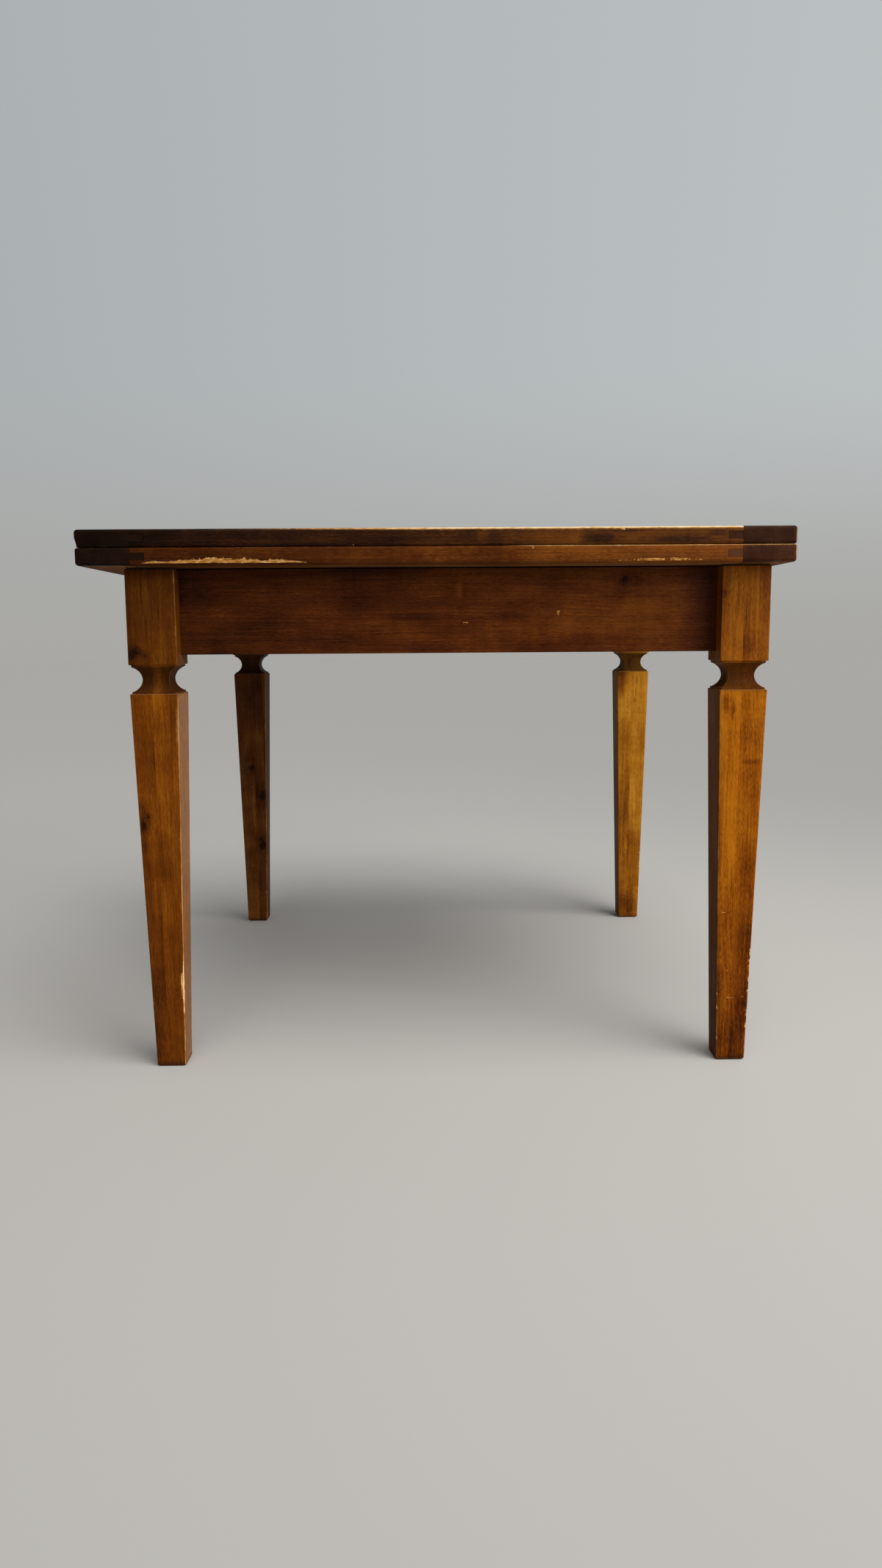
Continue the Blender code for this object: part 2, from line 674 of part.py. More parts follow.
def add_hinge_half(leaf, number, y, leaf_end, body, pin_z, face_z, facing):
    """Brass plate let into the inner face of a leaf, with two lugs that hold a pin of the link."""
    half_length = HINGE_LENGTH / 2
    plate_top = face_z - facing * CLEARANCE
    plate_bottom = plate_top - facing * PLATE_THICKNESS
    lug_bottom = pin_z - facing * LINK_SWEEP
    name = f"hinge_{number}_{leaf}_half"
    nose = arc(0.0, 0.0, KNUCKLE_RADIUS, facing * pi / 2, 0.0, ROUND_STEPS // 4)
    outline = [
        (PLATE_END_X - PIN_X, plate_top - pin_z),
        *nose,
        (KNUCKLE_RADIUS, lug_bottom - pin_z),
        (LUG_BACK_X - PIN_X, lug_bottom - pin_z),
        (LUG_BACK_X - PIN_X, plate_bottom - pin_z),
        (PLATE_END_X - PIN_X, plate_bottom - pin_z),
    ]
    bore = circle(0.0, 0.0, PIN_RADIUS + CLEARANCE)
    mesh = flat_mesh(name, [outline, bore], HINGE_LENGTH, STAND_XZ)
    half = add_part(name, mesh, (PIN_X, y, pin_z), body, BRASS)
    link_half = LINK_THICKNESS / 2 + CLEARANCE
    cut_span(
        half,
        (LUG_BACK_X + LUG_WEB, PIN_X + OVERCUT),
        (y - link_half, y + link_half),
        (pin_z - OVERCUT, pin_z + OVERCUT),
    )
    cut_span(
        leaf_end,
        (PLATE_END_X - CLEARANCE, TOP_WIDTH / 2 + OVERCUT),
        (y - half_length - CLEARANCE, y + half_length + CLEARANCE),
        (plate_bottom - facing * CLEARANCE, face_z + facing * OVERCUT),
    )
    cut_span(
        leaf_end,
        (LUG_BACK_X - CLEARANCE, TOP_WIDTH / 2 + OVERCUT),
        (y - half_length - CLEARANCE, y + half_length + CLEARANCE),
        (lug_bottom - facing * CLEARANCE, face_z + facing * OVERCUT),
    )
    pin_name = f"hinge_{number}_{leaf}_pin"
    pin = cylinder_mesh(pin_name, PIN_RADIUS, HINGE_LENGTH, STAND_XZ)
    add_part(pin_name, pin, (PIN_X, y, pin_z), body, BRASS)
    for letter, sign in (("a", -1), ("b", 1)):
        screw_name = f"hinge_{number}_{leaf}_screw_{letter}"
        place = (SCREW_X, y + sign * SCREW_SPACING / 2, plate_top)
        hole = screw_mesh(screw_name + "_hole", CLEARANCE, OVERCUT, facing)
        tool = add_tool(hole.name, hole, place)
        combine(half, tool, "DIFFERENCE")
        combine(leaf_end, tool, "DIFFERENCE")
        screw = screw_mesh(screw_name, 0.0, 0.0, facing)
        add_part(screw_name, screw, place, body, BRASS)


def rounded_slot(low, high, radius):
    """Upright outline with round ends, centred on heights low and high."""
    steps = ROUND_STEPS // 2
    return arc(0.0, low, radius, pi, 2 * pi, steps) + arc(0.0, high, radius, 0.0, pi, steps)


def add_hinge_link(number, y):
    """Link upright between the lugs while closed, with an eye on the lower pin and a slot on the upper."""
    name = f"hinge_{number}_link"
    upper_pin = UPPER_PIN_Z - LOWER_PIN_Z
    far_end = upper_pin + SLOT_TRAVEL
    outline = rounded_slot(0.0, far_end, KNUCKLE_RADIUS)
    eye = circle(0.0, 0.0, PIN_RADIUS + CLEARANCE)
    slot = rounded_slot(upper_pin, far_end, PIN_RADIUS + CLEARANCE)
    mesh = flat_mesh(name, [outline, eye, slot], LINK_THICKNESS, STAND_XZ)
    add_part(name, mesh, (PIN_X, y, LOWER_PIN_Z), LINKS, BRASS)


def add_hinge(index, lower_end, upper_end):
    number = index + 1
    y = (index - (HINGE_COUNT - 1) / 2) * HINGE_SPACING
    add_hinge_half("lower", number, y, lower_end, LOWER_LEAF, LOWER_PIN_Z, LOWER_INNER_FACE, 1)
    add_hinge_half("upper", number, y, upper_end, UPPER_LEAF, UPPER_PIN_Z, UPPER_INNER_FACE, -1)
    add_hinge_link(number, y)


remove_everything()
PARTS = new_collection("extending_table")
TOOLS = new_collection("cutters")

WALNUT = finish("walnut_stain", (0.165, 0.062, 0.016), 0.38)
BEECH = finish("plain_beech", (0.480, 0.300, 0.150), 0.60)
BRASS = finish("brass", (0.610, 0.410, 0.140), 0.32, 1.0)
STEEL = finish("zinc_steel", (0.560, 0.560, 0.550), 0.35, 1.0)
FELT = finish("brown_felt", (0.035, 0.022, 0.015), 0.95)

FRAME = body_empty("frame", (FRAME_MIDDLE, 0.0, 0.0))
LOWER_LEAF = body_empty("lower_leaf", (0.0, 0.0, TOP_UNDERSIDE))
LINKS = body_empty("hinge_links", (PIN_X, 0.0, LOWER_PIN_Z))
UPPER_LEAF = body_empty("upper_leaf", (FOLD_X, 0.0, FOLD_Z))

for end_name in ENDS:
    add_long_apron(end_name)
    add_guide_rail(end_name)
    add_runner(end_name)
    for side_name in SIDES:
        add_leg(side_name, end_name)
        add_corner(side_name, end_name)
        add_leg_felt(side_name, end_name)
for side_name in SIDES:
    add_short_apron(side_name)
add_cross_rail()

lower_pieces = add_leaf("lower", LOWER_LEAF, TOP_UNDERSIDE, -1)
upper_pieces = add_leaf("upper", UPPER_LEAF, UPPER_INNER_FACE, 1)
cut_finger_bevel(upper_pieces["left"])
for hinge_index in range(HINGE_COUNT):
    add_hinge(hinge_index, lower_pieces["right"], upper_pieces["right"])
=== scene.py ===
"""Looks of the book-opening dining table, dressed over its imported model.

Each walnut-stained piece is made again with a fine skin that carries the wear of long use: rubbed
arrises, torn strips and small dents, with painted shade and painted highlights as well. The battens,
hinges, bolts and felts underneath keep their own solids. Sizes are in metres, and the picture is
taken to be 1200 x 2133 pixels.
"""

import json
from math import asin, cos, pi, radians, sin

import bmesh
import bpy
import numpy as np
from mathutils import Matrix, Vector

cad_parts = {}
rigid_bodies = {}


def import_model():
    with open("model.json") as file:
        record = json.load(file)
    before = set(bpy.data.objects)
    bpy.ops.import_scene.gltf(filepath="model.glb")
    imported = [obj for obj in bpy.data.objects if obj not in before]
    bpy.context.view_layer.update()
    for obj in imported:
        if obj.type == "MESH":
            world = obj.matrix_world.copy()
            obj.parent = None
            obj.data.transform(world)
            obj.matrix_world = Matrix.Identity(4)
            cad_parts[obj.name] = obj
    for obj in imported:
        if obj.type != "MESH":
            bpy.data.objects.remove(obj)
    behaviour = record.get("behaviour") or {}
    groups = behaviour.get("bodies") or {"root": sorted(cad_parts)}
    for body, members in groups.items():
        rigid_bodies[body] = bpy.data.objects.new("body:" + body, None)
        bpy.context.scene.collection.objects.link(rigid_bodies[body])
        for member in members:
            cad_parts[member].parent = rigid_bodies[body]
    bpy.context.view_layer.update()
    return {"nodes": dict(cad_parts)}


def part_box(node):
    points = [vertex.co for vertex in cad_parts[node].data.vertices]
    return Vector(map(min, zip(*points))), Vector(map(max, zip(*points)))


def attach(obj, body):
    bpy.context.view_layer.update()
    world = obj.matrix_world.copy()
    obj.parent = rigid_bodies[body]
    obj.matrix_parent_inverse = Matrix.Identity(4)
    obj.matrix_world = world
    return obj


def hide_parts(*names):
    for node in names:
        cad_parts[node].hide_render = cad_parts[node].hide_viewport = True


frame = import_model()
nodes = frame["nodes"]

# The table as packed
LEAVES = ("lower", "upper")
SIDES = {"left": -1, "right": 1}
ENDS = {"front": -1, "rear": 1}
TOP_HALF = 0.5
CLEARANCE = 0.0003
OUTER_ARRIS = 0.005
INNER_ARRIS = 0.0035
END_JOINT = 0.4235
TONGUE_START = 0.40
TONGUE_LENGTH = 0.020
TONGUE_THICKNESS = 0.010
FINGER_BEVEL_DEPTH = 0.004
FINGER_BEVEL_HEIGHT = 0.013
BLOCK_HEIGHT = 0.1355
FILLET_HALF = 0.032
UPPER_FILLET_HEIGHT = 0.003
LOWER_FILLET_HEIGHT = 0.0025
COVE_HEIGHT = 0.036
COVE_DEPTH = 0.0125
TAPER_TOP_HALF = 0.0345
FOOT_HALF = 0.02175
FOOT_CHAMFER = 0.003
APRON_LENGTHS = {"front": "X", "rear": "X", "left": "Y", "right": "Y"}
APRON_ARRIS = 0.0015
TENON_LENGTH = 0.018
HINGE_NUMBERS = (1, 2, 3)
HINGE_PLATE = 0.0020
HINGE_LUG_LENGTH = 0.0118
OVERCUT = 0.02

# How fine the skins are
EDGE_STEP = 0.0010
END_STEP = 0.0015
LEVEL_STEP = 0.0006
SIDE_STEP = 0.0030
PLAIN_STEP = 0.0250
LEG_STEP = 0.0015
APRON_STEP = 0.0030
DENT_STEP = 0.0005
CAP_MARGIN = 0.004
MERGE_DISTANCE = 0.000002
CREASE_ANGLE = radians(38)


def tint(code):
    """Linear colour of a six-digit paint code."""
    parts = [int(code[place:place + 2], 16) / 255 for place in (0, 2, 4)]
    linear = [part / 12.92 if part <= 0.04045 else ((part + 0.055) / 1.055) ** 2.4 for part in parts]
    return (*linear, 1.0)


def grey(tone):
    return (tone, tone, tone, 1.0)


def colour_stops(*pairs):
    """Stops of a colour scale, from (position, paint code) pairs."""
    return [(position, tint(code)) for position, code in pairs]


def show(name, data):
    """New object in the scene."""
    made = bpy.data.objects.new(name, data)
    bpy.context.scene.collection.objects.link(made)
    return made


def plain_mesh(piece):
    """What an object's modifiers make, as a mesh of its own. The object is removed."""
    made = bpy.data.meshes.new_from_object(piece.evaluated_get(bpy.context.evaluated_depsgraph_get()))
    bpy.data.objects.remove(piece)
    return made


class Nodes:
    """A node tree that is laid down one short call at a time."""

    def __init__(self, tree):
        self.tree = tree

    def add(self, kind, feeds=None, **settings):
        """New node with its settings, and with values or outputs fed to its inputs."""
        node = self.tree.nodes.new(kind)
        for key, value in settings.items():
            setattr(node, key, value)
        for key, value in (feeds or {}).items():
            self.feed(node.inputs[key], value)
        return node

    def feed(self, socket, value):
        """Joins an output to a socket, or sets the socket to a plain value."""
        if isinstance(value, bpy.types.NodeSocket):
            self.tree.links.new(value, socket)
        else:
            socket.default_value = value

    def split(self, vector):
        return list(self.add("ShaderNodeSeparateXYZ", {0: vector}).outputs)

    def join(self, *parts):
        return self.add("ShaderNodeCombineXYZ", dict(enumerate(parts))).outputs[0]

    def math(self, operation, *values):
        return self.add("ShaderNodeMath", dict(enumerate(values)), operation=operation).outputs[0]

    def vector(self, operation, *values):
        node = self.add("ShaderNodeVectorMath", dict(enumerate(values)), operation=operation)
        return node.outputs["Value" if operation == "LENGTH" else "Vector"]

    def distance(self, place, centre, squeeze):
        """How far a place is from a centre, with each axis squeezed by its own factor."""
        offset = self.vector("SUBTRACT", place, centre)
        return self.vector("LENGTH", self.vector("MULTIPLY", offset, squeeze))

    def plus(self, start, *shares):
        """A start value plus each (value, weight)."""
        for value, weight in shares:
            start = self.math("MULTIPLY_ADD", value, weight, start)
        return start

    def total(self, start, *shares):
        """A start value plus each (value, weight), where a value of one half adds nothing."""
        return self.plus(start, *((self.math("SUBTRACT", value, 0.5), weight) for value, weight in shares))

    def noise(self, vector, stretch, detail=3.0, rough=0.55):
        """Cloudy noise from 0 to 1, with its waves per metre along each axis."""
        stretched = self.vector("MULTIPLY", vector, stretch)
        feeds = {"Vector": stretched, "Scale": 1.0, "Detail": detail, "Roughness": rough}
        return self.add("ShaderNodeTexNoise", feeds).outputs[0]

    def ramp(self, value, stops, steps=False):
        """Colour read off a list of (position, colour)."""
        node = self.add("ShaderNodeValToRGB", {0: value})
        node.color_ramp.interpolation = "CONSTANT" if steps else "LINEAR"
        marks = node.color_ramp.elements
        while len(marks) < len(stops):
            marks.new(1.0)
        for mark, (position, colour) in zip(marks, stops):
            mark.position = position
            mark.color = colour
        return node.outputs[0]

    def fade(self, value, low, high, start=0.0, end=1.0, kind="SMOOTHSTEP"):
        """Change from start to end while a value goes from low to high."""
        feeds = dict(enumerate((value, low, high, start, end)))
        return self.add("ShaderNodeMapRange", feeds, interpolation_type=kind).outputs[0]

    def mix(self, share, first, second, blend="MIX"):
        feeds = {0: share, 6: first, 7: second}
        return self.add("ShaderNodeMix", feeds, data_type="RGBA", blend_type=blend).outputs[2]

    def darken(self, colour, share):
        """Colour times a plain value."""
        return self.mix(1.0, colour, self.join(share, share, share), "MULTIPLY")


class Finish(Nodes):
    """A material, with the nodes that feed its shader."""

    def __init__(self, name):
        self.material = bpy.data.materials.new(name)
        self.material.use_nodes = True
        super().__init__(self.material.node_tree)
        self.shader = self.tree.nodes["Principled BSDF"]

    def set(self, **values):
        """Feeds the shader's own sockets, named with underscores."""
        for key, value in values.items():
            self.feed(self.shader.inputs[key.replace("_", " ")], value)

    def place(self):
        return self.add("ShaderNodeTexCoord").outputs["Object"]

    def lie(self, grain):
        """Place with its parts along the grain, across it and through it."""
        parts = self.split(self.place())
        return self.join(*(parts[index] for index in GRAIN_ORDER[grain]))

    def mark(self, name):
        """Value painted on the skin itself."""
        return self.add("ShaderNodeAttribute", attribute_name=name).outputs["Fac"]

    def bump(self, height, strength, distance):
        feeds = {"Strength": strength, "Distance": distance, "Height": height}
        self.set(Normal=self.add("ShaderNodeBump", feeds).outputs[0])


# Which coordinates run along the grain, across it and through it
GRAIN_ORDER = {"X": (0, 1, 2), "Y": (1, 0, 2), "Z": (2, 0, 1)}
RING_GAP = 0.0030
RING_TONES = [(0.0, grey(0.55)), (0.55, grey(0.60)), (0.90, grey(0.28)), (1.0, grey(0.55))]
# How far the figure of one glued board lies from the next, per step of tone
BOARD_SHIFT_ALONG = 3.7
BOARD_SHIFT_ACROSS = 0.31
BOARD_MARGIN = 0.001
# Where the painted light falloff along a leaf's front edge dies away behind it
FRONT_BAND = (-0.46, -0.16)
STAIN_PLACES = (0.08, 0.30, 0.52, 0.80)
STAIN_BEYOND = 0.4
RAW_WOOD = colour_stops(
    (0.16, "5f3511"), (0.36, "94622a"), (0.52, "b98040"), (0.72, "dcb070"), (0.95, "e6d0a6")
)
RAW_UNDERSIDE = colour_stops((0.10, "482911"), (0.50, "6a421f"), (0.85, "8c5e34"))
# Colour of rubbed varnish, also used for painted highlights on arrises and faces
RUBBED_VARNISH_AND_SHEEN = tint("b07c44")
# Colour of the painted shade on leg blocks, coves, feet, turned-away faces and apron tops
SHADE_TONE = tint("0d0705")


def stain_stops(codes):
    """Places of four stain colours on the scale of dark and light wood, and one past the lightest."""
    stops = colour_stops(*zip(STAIN_PLACES, codes))
    before, lightest = (np.array(colour) for _, colour in stops[-2:])
    return [*stops, (1.0, tuple(lightest + STAIN_BEYOND * (lightest - before)))]


def by_grain(grain, along, across):
    """One factor for each axis."""
    factors = [across] * 3
    factors["XYZ".index(grain)] = along
    return factors


def board_tones(finish, coordinates, boards):
    """Tone of each glued board, from (axis, start, end, [(place, tone), ...])."""
    axis, start, end, tones = boards
    share = finish.fade(coordinates["XYZ".index(axis)], start, end, kind="LINEAR")
    stops = [((place - start) / (end - start), grey(tone)) for place, tone in tones]
    return finish.ramp(share, stops, steps=True)


def knot_marks(finish, place, grain, knots):
    """How far knots push the rings aside, and how much they darken the wood."""
    squeeze = by_grain(grain, 0.72, 1.0)
    push = 0.0
    dark = 0.5
    uneven = finish.noise(place, (70.0, 70.0, 70.0), detail=3.0) if knots else 0.5
    for *centre, radius, depth in knots:
        near = finish.total(finish.distance(place, centre, squeeze), (uneven, radius * 2.4))
        halo = finish.fade(near, radius * 3.6, 0.0)
        core = finish.fade(near, radius * 1.05, radius * 0.20)
        turn = finish.math("FRACT", finish.math("DIVIDE", near, radius * 0.52))
        close = finish.math("MULTIPLY", halo, halo)
        swirl = finish.math("MULTIPLY", finish.fade(turn, 0.30, 0.95), close)
        push = finish.plus(push, (close, radius * 2.0))
        dark = finish.plus(dark, (core, 0.28 * depth), (halo, 0.12 * depth), (swirl, 0.20 * depth))
    return push, dark


def smudge_marks(finish, place, grain, smudges, dark):
    """Adds soft dark patches, from (x, y, z, reach across the grain, reach along it, amount)."""
    for *centre, across, along, amount in smudges:
        near = finish.distance(place, centre, by_grain(grain, 1 / along, 1 / across))
        dark = finish.plus(dark, (finish.fade(near, 1.0, 0.1), amount))
    return dark


def scratch_marks(finish, place, scratches):
    """How bare short scratches are, from (x, y, z, half size along x, y and z)."""
    bare = 0.0
    for x, y, z, *sizes in scratches:
        near = finish.distance(place, (x, y, z), [1 / size for size in sizes])
        bare = finish.math("MAXIMUM", bare, finish.fade(near, 1.0, 0.4))
    return bare


def stained_wood(
    name, grain, tones, pith, boards=None, knots=(), smudges=(), scratches=(), drift=None, drift_behind=1.0,
    common_tones=None, gloss=0.30, figure=1.0,
):
    """Walnut stain under satin varnish on solid wood, with what wear has rubbed and torn, and with painted
    shade and painted highlights.
    """
    finish = Finish(name)
    place = finish.place()
    coordinates = finish.split(place)
    along, across, deep = (coordinates[index] for index in GRAIN_ORDER[grain])
    board = board_tones(finish, coordinates, boards) if boards else 0.5
    push, dark = knot_marks(finish, place, grain, knots)
    dark = smudge_marks(finish, place, grain, smudges, dark)
    own_along = finish.plus(along, (board, BOARD_SHIFT_ALONG))
    lie = finish.join(own_along, across, deep)

    sway = finish.noise(lie, (2.2, 11.0, 11.0), detail=2.0)
    bent_across = finish.math("ADD", finish.total(across, (sway, 0.020)), push)
    bent_deep = finish.math("ADD", finish.total(deep, (sway, -0.014)), push)
    bent = finish.join(own_along, bent_across, bent_deep)
    ring_across = finish.math("SUBTRACT", finish.plus(bent_across, (board, BOARD_SHIFT_ACROSS)), pith[0])
    ring_deep = finish.math("SUBTRACT", bent_deep, pith[1])
    from_pith = finish.vector("LENGTH", finish.join(0.0, ring_across, ring_deep))
    ring = finish.ramp(finish.math("FRACT", finish.math("DIVIDE", from_pith, RING_GAP)), RING_TONES)

    streak = finish.noise(bent, (3.5, 380.0, 380.0), detail=4.0, rough=0.68)
    band = finish.noise(bent, (2.0, 75.0, 75.0), detail=2.0)
    fleck = finish.noise(bent, (150.0, 1250.0, 1250.0), detail=2.0, rough=0.6)
    pore = finish.noise(lie, (42.0, 1300.0, 1300.0), detail=2.0)
    cloud = finish.noise(lie, (8.0, 24.0, 24.0), detail=3.0)
    curl = finish.noise(lie, (34.0, 9.0, 9.0), detail=2.0)
    fibre = finish.noise(lie, (55.0, 900.0, 900.0), detail=4.0, rough=0.7)
    tuft = finish.noise(lie, (120.0, 330.0, 330.0), detail=3.0, rough=0.65)

    value = finish.total(
        0.5,
        (streak, 0.62 * figure),
        (band, 0.34 * figure),
        (fleck, 0.95 * figure),
        (cloud, 0.72),
        (curl, 0.26),
        (ring, 0.26 * figure),
        (board, 1.0),
        (dark, -1.0),
    )
    # A change of tone along the grain; on the front apron and the panels it is a painted light falloff,
    # lighter towards the right
    if drift:
        low, high, change = drift
        shift = finish.fade(along, low, high, -change / 2, change / 2)
        if drift_behind < 1.0:
            shift = finish.math("MULTIPLY", shift, finish.fade(across, *FRONT_BAND, 1.0, drift_behind))
        value = finish.math("ADD", value, shift)
    colour = finish.ramp(value, stain_stops(tones))
    # On the legs the faces marked with their own tones carry painted light and shade; the rest take the
    # common tones
    if common_tones:
        colour = finish.mix(finish.mark("own_stain"), finish.ramp(value, stain_stops(common_tones)), colour)
    colour = finish.darken(colour, finish.fade(pore, 0.56, 0.72, 1.0, 0.60))
    unvarnished = finish.mark("unvarnished")
    colour = finish.mix(unvarnished, colour, finish.ramp(value, RAW_UNDERSIDE))

    # Painted shade, mottled, where the skin is marked for it
    painted_shade_share = finish.math("MULTIPLY", finish.mark("grime"), finish.fade(cloud, 0.25, 0.60, 0.70, 1.0))
    colour = finish.mix(painted_shade_share, colour, SHADE_TONE)
    # Rubbed varnish together with painted highlights, where the skin is marked for them
    wear_and_sheen_share = finish.fade(finish.total(finish.mark("rub"), (fibre, 0.6), (tuft, 0.5)), 0.20, 0.90)
    colour = finish.mix(wear_and_sheen_share, colour, RUBBED_VARNISH_AND_SHEEN)
    lost = finish.mark("bare")
    if scratches:
        lost = finish.math("MAXIMUM", lost, scratch_marks(finish, place, scratches))
    bare = finish.fade(finish.total(lost, (fibre, 0.5), (tuft, 0.9)), 0.36, 0.52)
    worn_through = finish.plus(-0.55, (finish.math("MAXIMUM", lost, 1.0), 0.55))
    paleness = finish.math("ADD", finish.total(fibre, (tuft, 0.9)), worn_through)
    colour = finish.mix(bare, colour, finish.ramp(paleness, RAW_WOOD))

    rough = finish.total(gloss, (streak, 0.20), (cloud, 0.16))
    rough = finish.plus(rough, (bare, 0.38), (painted_shade_share, 0.50), (unvarnished, 0.50))
    height = finish.total(0.5, (streak, 0.35), (pore, -0.8), (fleck, 0.3))
    height = finish.plus(height, (finish.math("MULTIPLY", bare, tuft), 2.4))
    finish.set(Base_Color=colour, Roughness=rough, Specular_IOR_Level=0.04)
    finish.bump(height, 0.30, 0.0004)
    return finish.material


def planed_beech(name, grain):
    """Unfinished beech with short dark flecks, as planed battens are."""
    finish = Finish(name)
    lie = finish.lie(grain)
    streak = finish.noise(lie, (3.0, 110.0, 110.0), detail=4.0, rough=0.6)
    fleck = finish.noise(lie, (140.0, 900.0, 900.0), detail=1.0)
    cloud = finish.noise(lie, (5.0, 14.0, 14.0), detail=2.0)
    value = finish.total(0.5, (streak, 0.8), (cloud, 0.7))
    colour = finish.ramp(value, colour_stops((0.2, "946a3c"), (0.5, "b98a56"), (0.8, "d2a878")))
    colour = finish.darken(colour, finish.fade(fleck, 0.60, 0.70, 1.0, 0.62))
    finish.set(Base_Color=colour, Roughness=finish.total(0.62, (streak, 0.2)))
    finish.bump(finish.total(streak, (fleck, -0.6)), 0.25, 0.0003)
    return finish.material


def worn_metal(name, clean, tarnish, grain, roughness):
    """Drawn metal with fine lines along one axis and dull patches."""
    finish = Finish(name)
    lie = finish.lie(grain)
    line = finish.noise(lie, (60.0, 3500.0, 3500.0), detail=2.0)
    patch = finish.noise(lie, (90.0, 90.0, 90.0), detail=4.0, rough=0.6)
    colour = finish.ramp(patch, colour_stops((0.35, tarnish), (0.62, clean)))
    rough = finish.total(roughness, (line, 0.25), (patch, -0.30))
    finish.set(Base_Color=colour, Roughness=rough, Metallic=1.0)
    finish.bump(line, 0.20, 0.0001)
    return finish.material


def pressed_felt(name):
    finish = Finish(name)
    place = finish.place()
    fuzz = finish.noise(place, (900.0, 900.0, 500.0), detail=4.0, rough=0.7)
    clump = finish.noise(place, (140.0, 140.0, 140.0), detail=2.0)
    value = finish.total(fuzz, (clump, 0.8))
    colour = finish.ramp(value, colour_stops((0.3, "120c09"), (0.7, "3a2a20")))
    finish.set(Base_Color=colour, Roughness=0.95, Sheen_Weight=0.10)
    finish.bump(value, 0.6, 0.0006)
    return finish.material


STEEL = worn_metal("zinc_plated_steel", "a9a9a6", "77756f", "Z", 0.36)
BRASS = worn_metal("drawn_brass", "b48a3e", "6d4f22", "Y", 0.34)
FELT = pressed_felt("brown_felt")
BEECH = {grain: planed_beech(f"planed_beech_{grain.lower()}", grain) for grain in "XY"}


def ripple(values, seed):
    """Smooth random wave from 0 to 1 that swings about once per unit."""
    cell = np.floor(values)
    part = values - cell
    ease = part * part * (3 - 2 * part)

    def height(index):
        return (np.sin(index * 127.1 + seed * 311.7) * 43758.5453) % 1.0

    return height(cell) * (1 - ease) + height(cell + 1) * ease


def rough_wave(values, seed):
    """A wave with finer waves on it, from 0 to 1."""
    waves = [ripple(values * 2**octave, seed + 13 * octave) / 2**octave for octave in range(4)]
    return sum(waves) / 1.875


def smooth(values, low, high):
    """Smooth rise from 0 to 1 between two values."""
    share = np.clip((values - low) / (high - low), 0.0, 1.0)
    return share * share * (3 - 2 * share)


def fall(values, low, high):
    """Smooth fall from 1 to 0 between two values."""
    return 1 - smooth(values, low, high)


def window(values, start, stop, soft):
    """1 between start and stop, with soft edges."""
    return smooth(values, start - soft, start + soft) * smooth(-values, -stop - soft, -stop + soft)


def skin(name, rings):
    """Closed mesh over a stack of rings that all have the same number of points."""
    count, around = rings.shape[:2]
    index = np.arange(count * around).reshape(count, around)
    here = index[:-1]
    above = index[1:]
    walls = np.stack([here, np.roll(here, -1, 1), np.roll(above, -1, 1), above], -1)
    faces = walls.reshape(-1, 4).tolist() + [index[0, ::-1].tolist(), index[-1].tolist()]
    mesh = bpy.data.meshes.new(name)
    mesh.from_pydata(rings.reshape(-1, 3).tolist(), [], faces)
    work = bmesh.new()
    work.from_mesh(mesh)
    bmesh.ops.remove_doubles(work, verts=work.verts, dist=MERGE_DISTANCE)
    bmesh.ops.recalc_face_normals(work, faces=work.faces)
    work.to_mesh(mesh)
    work.free()
    return mesh


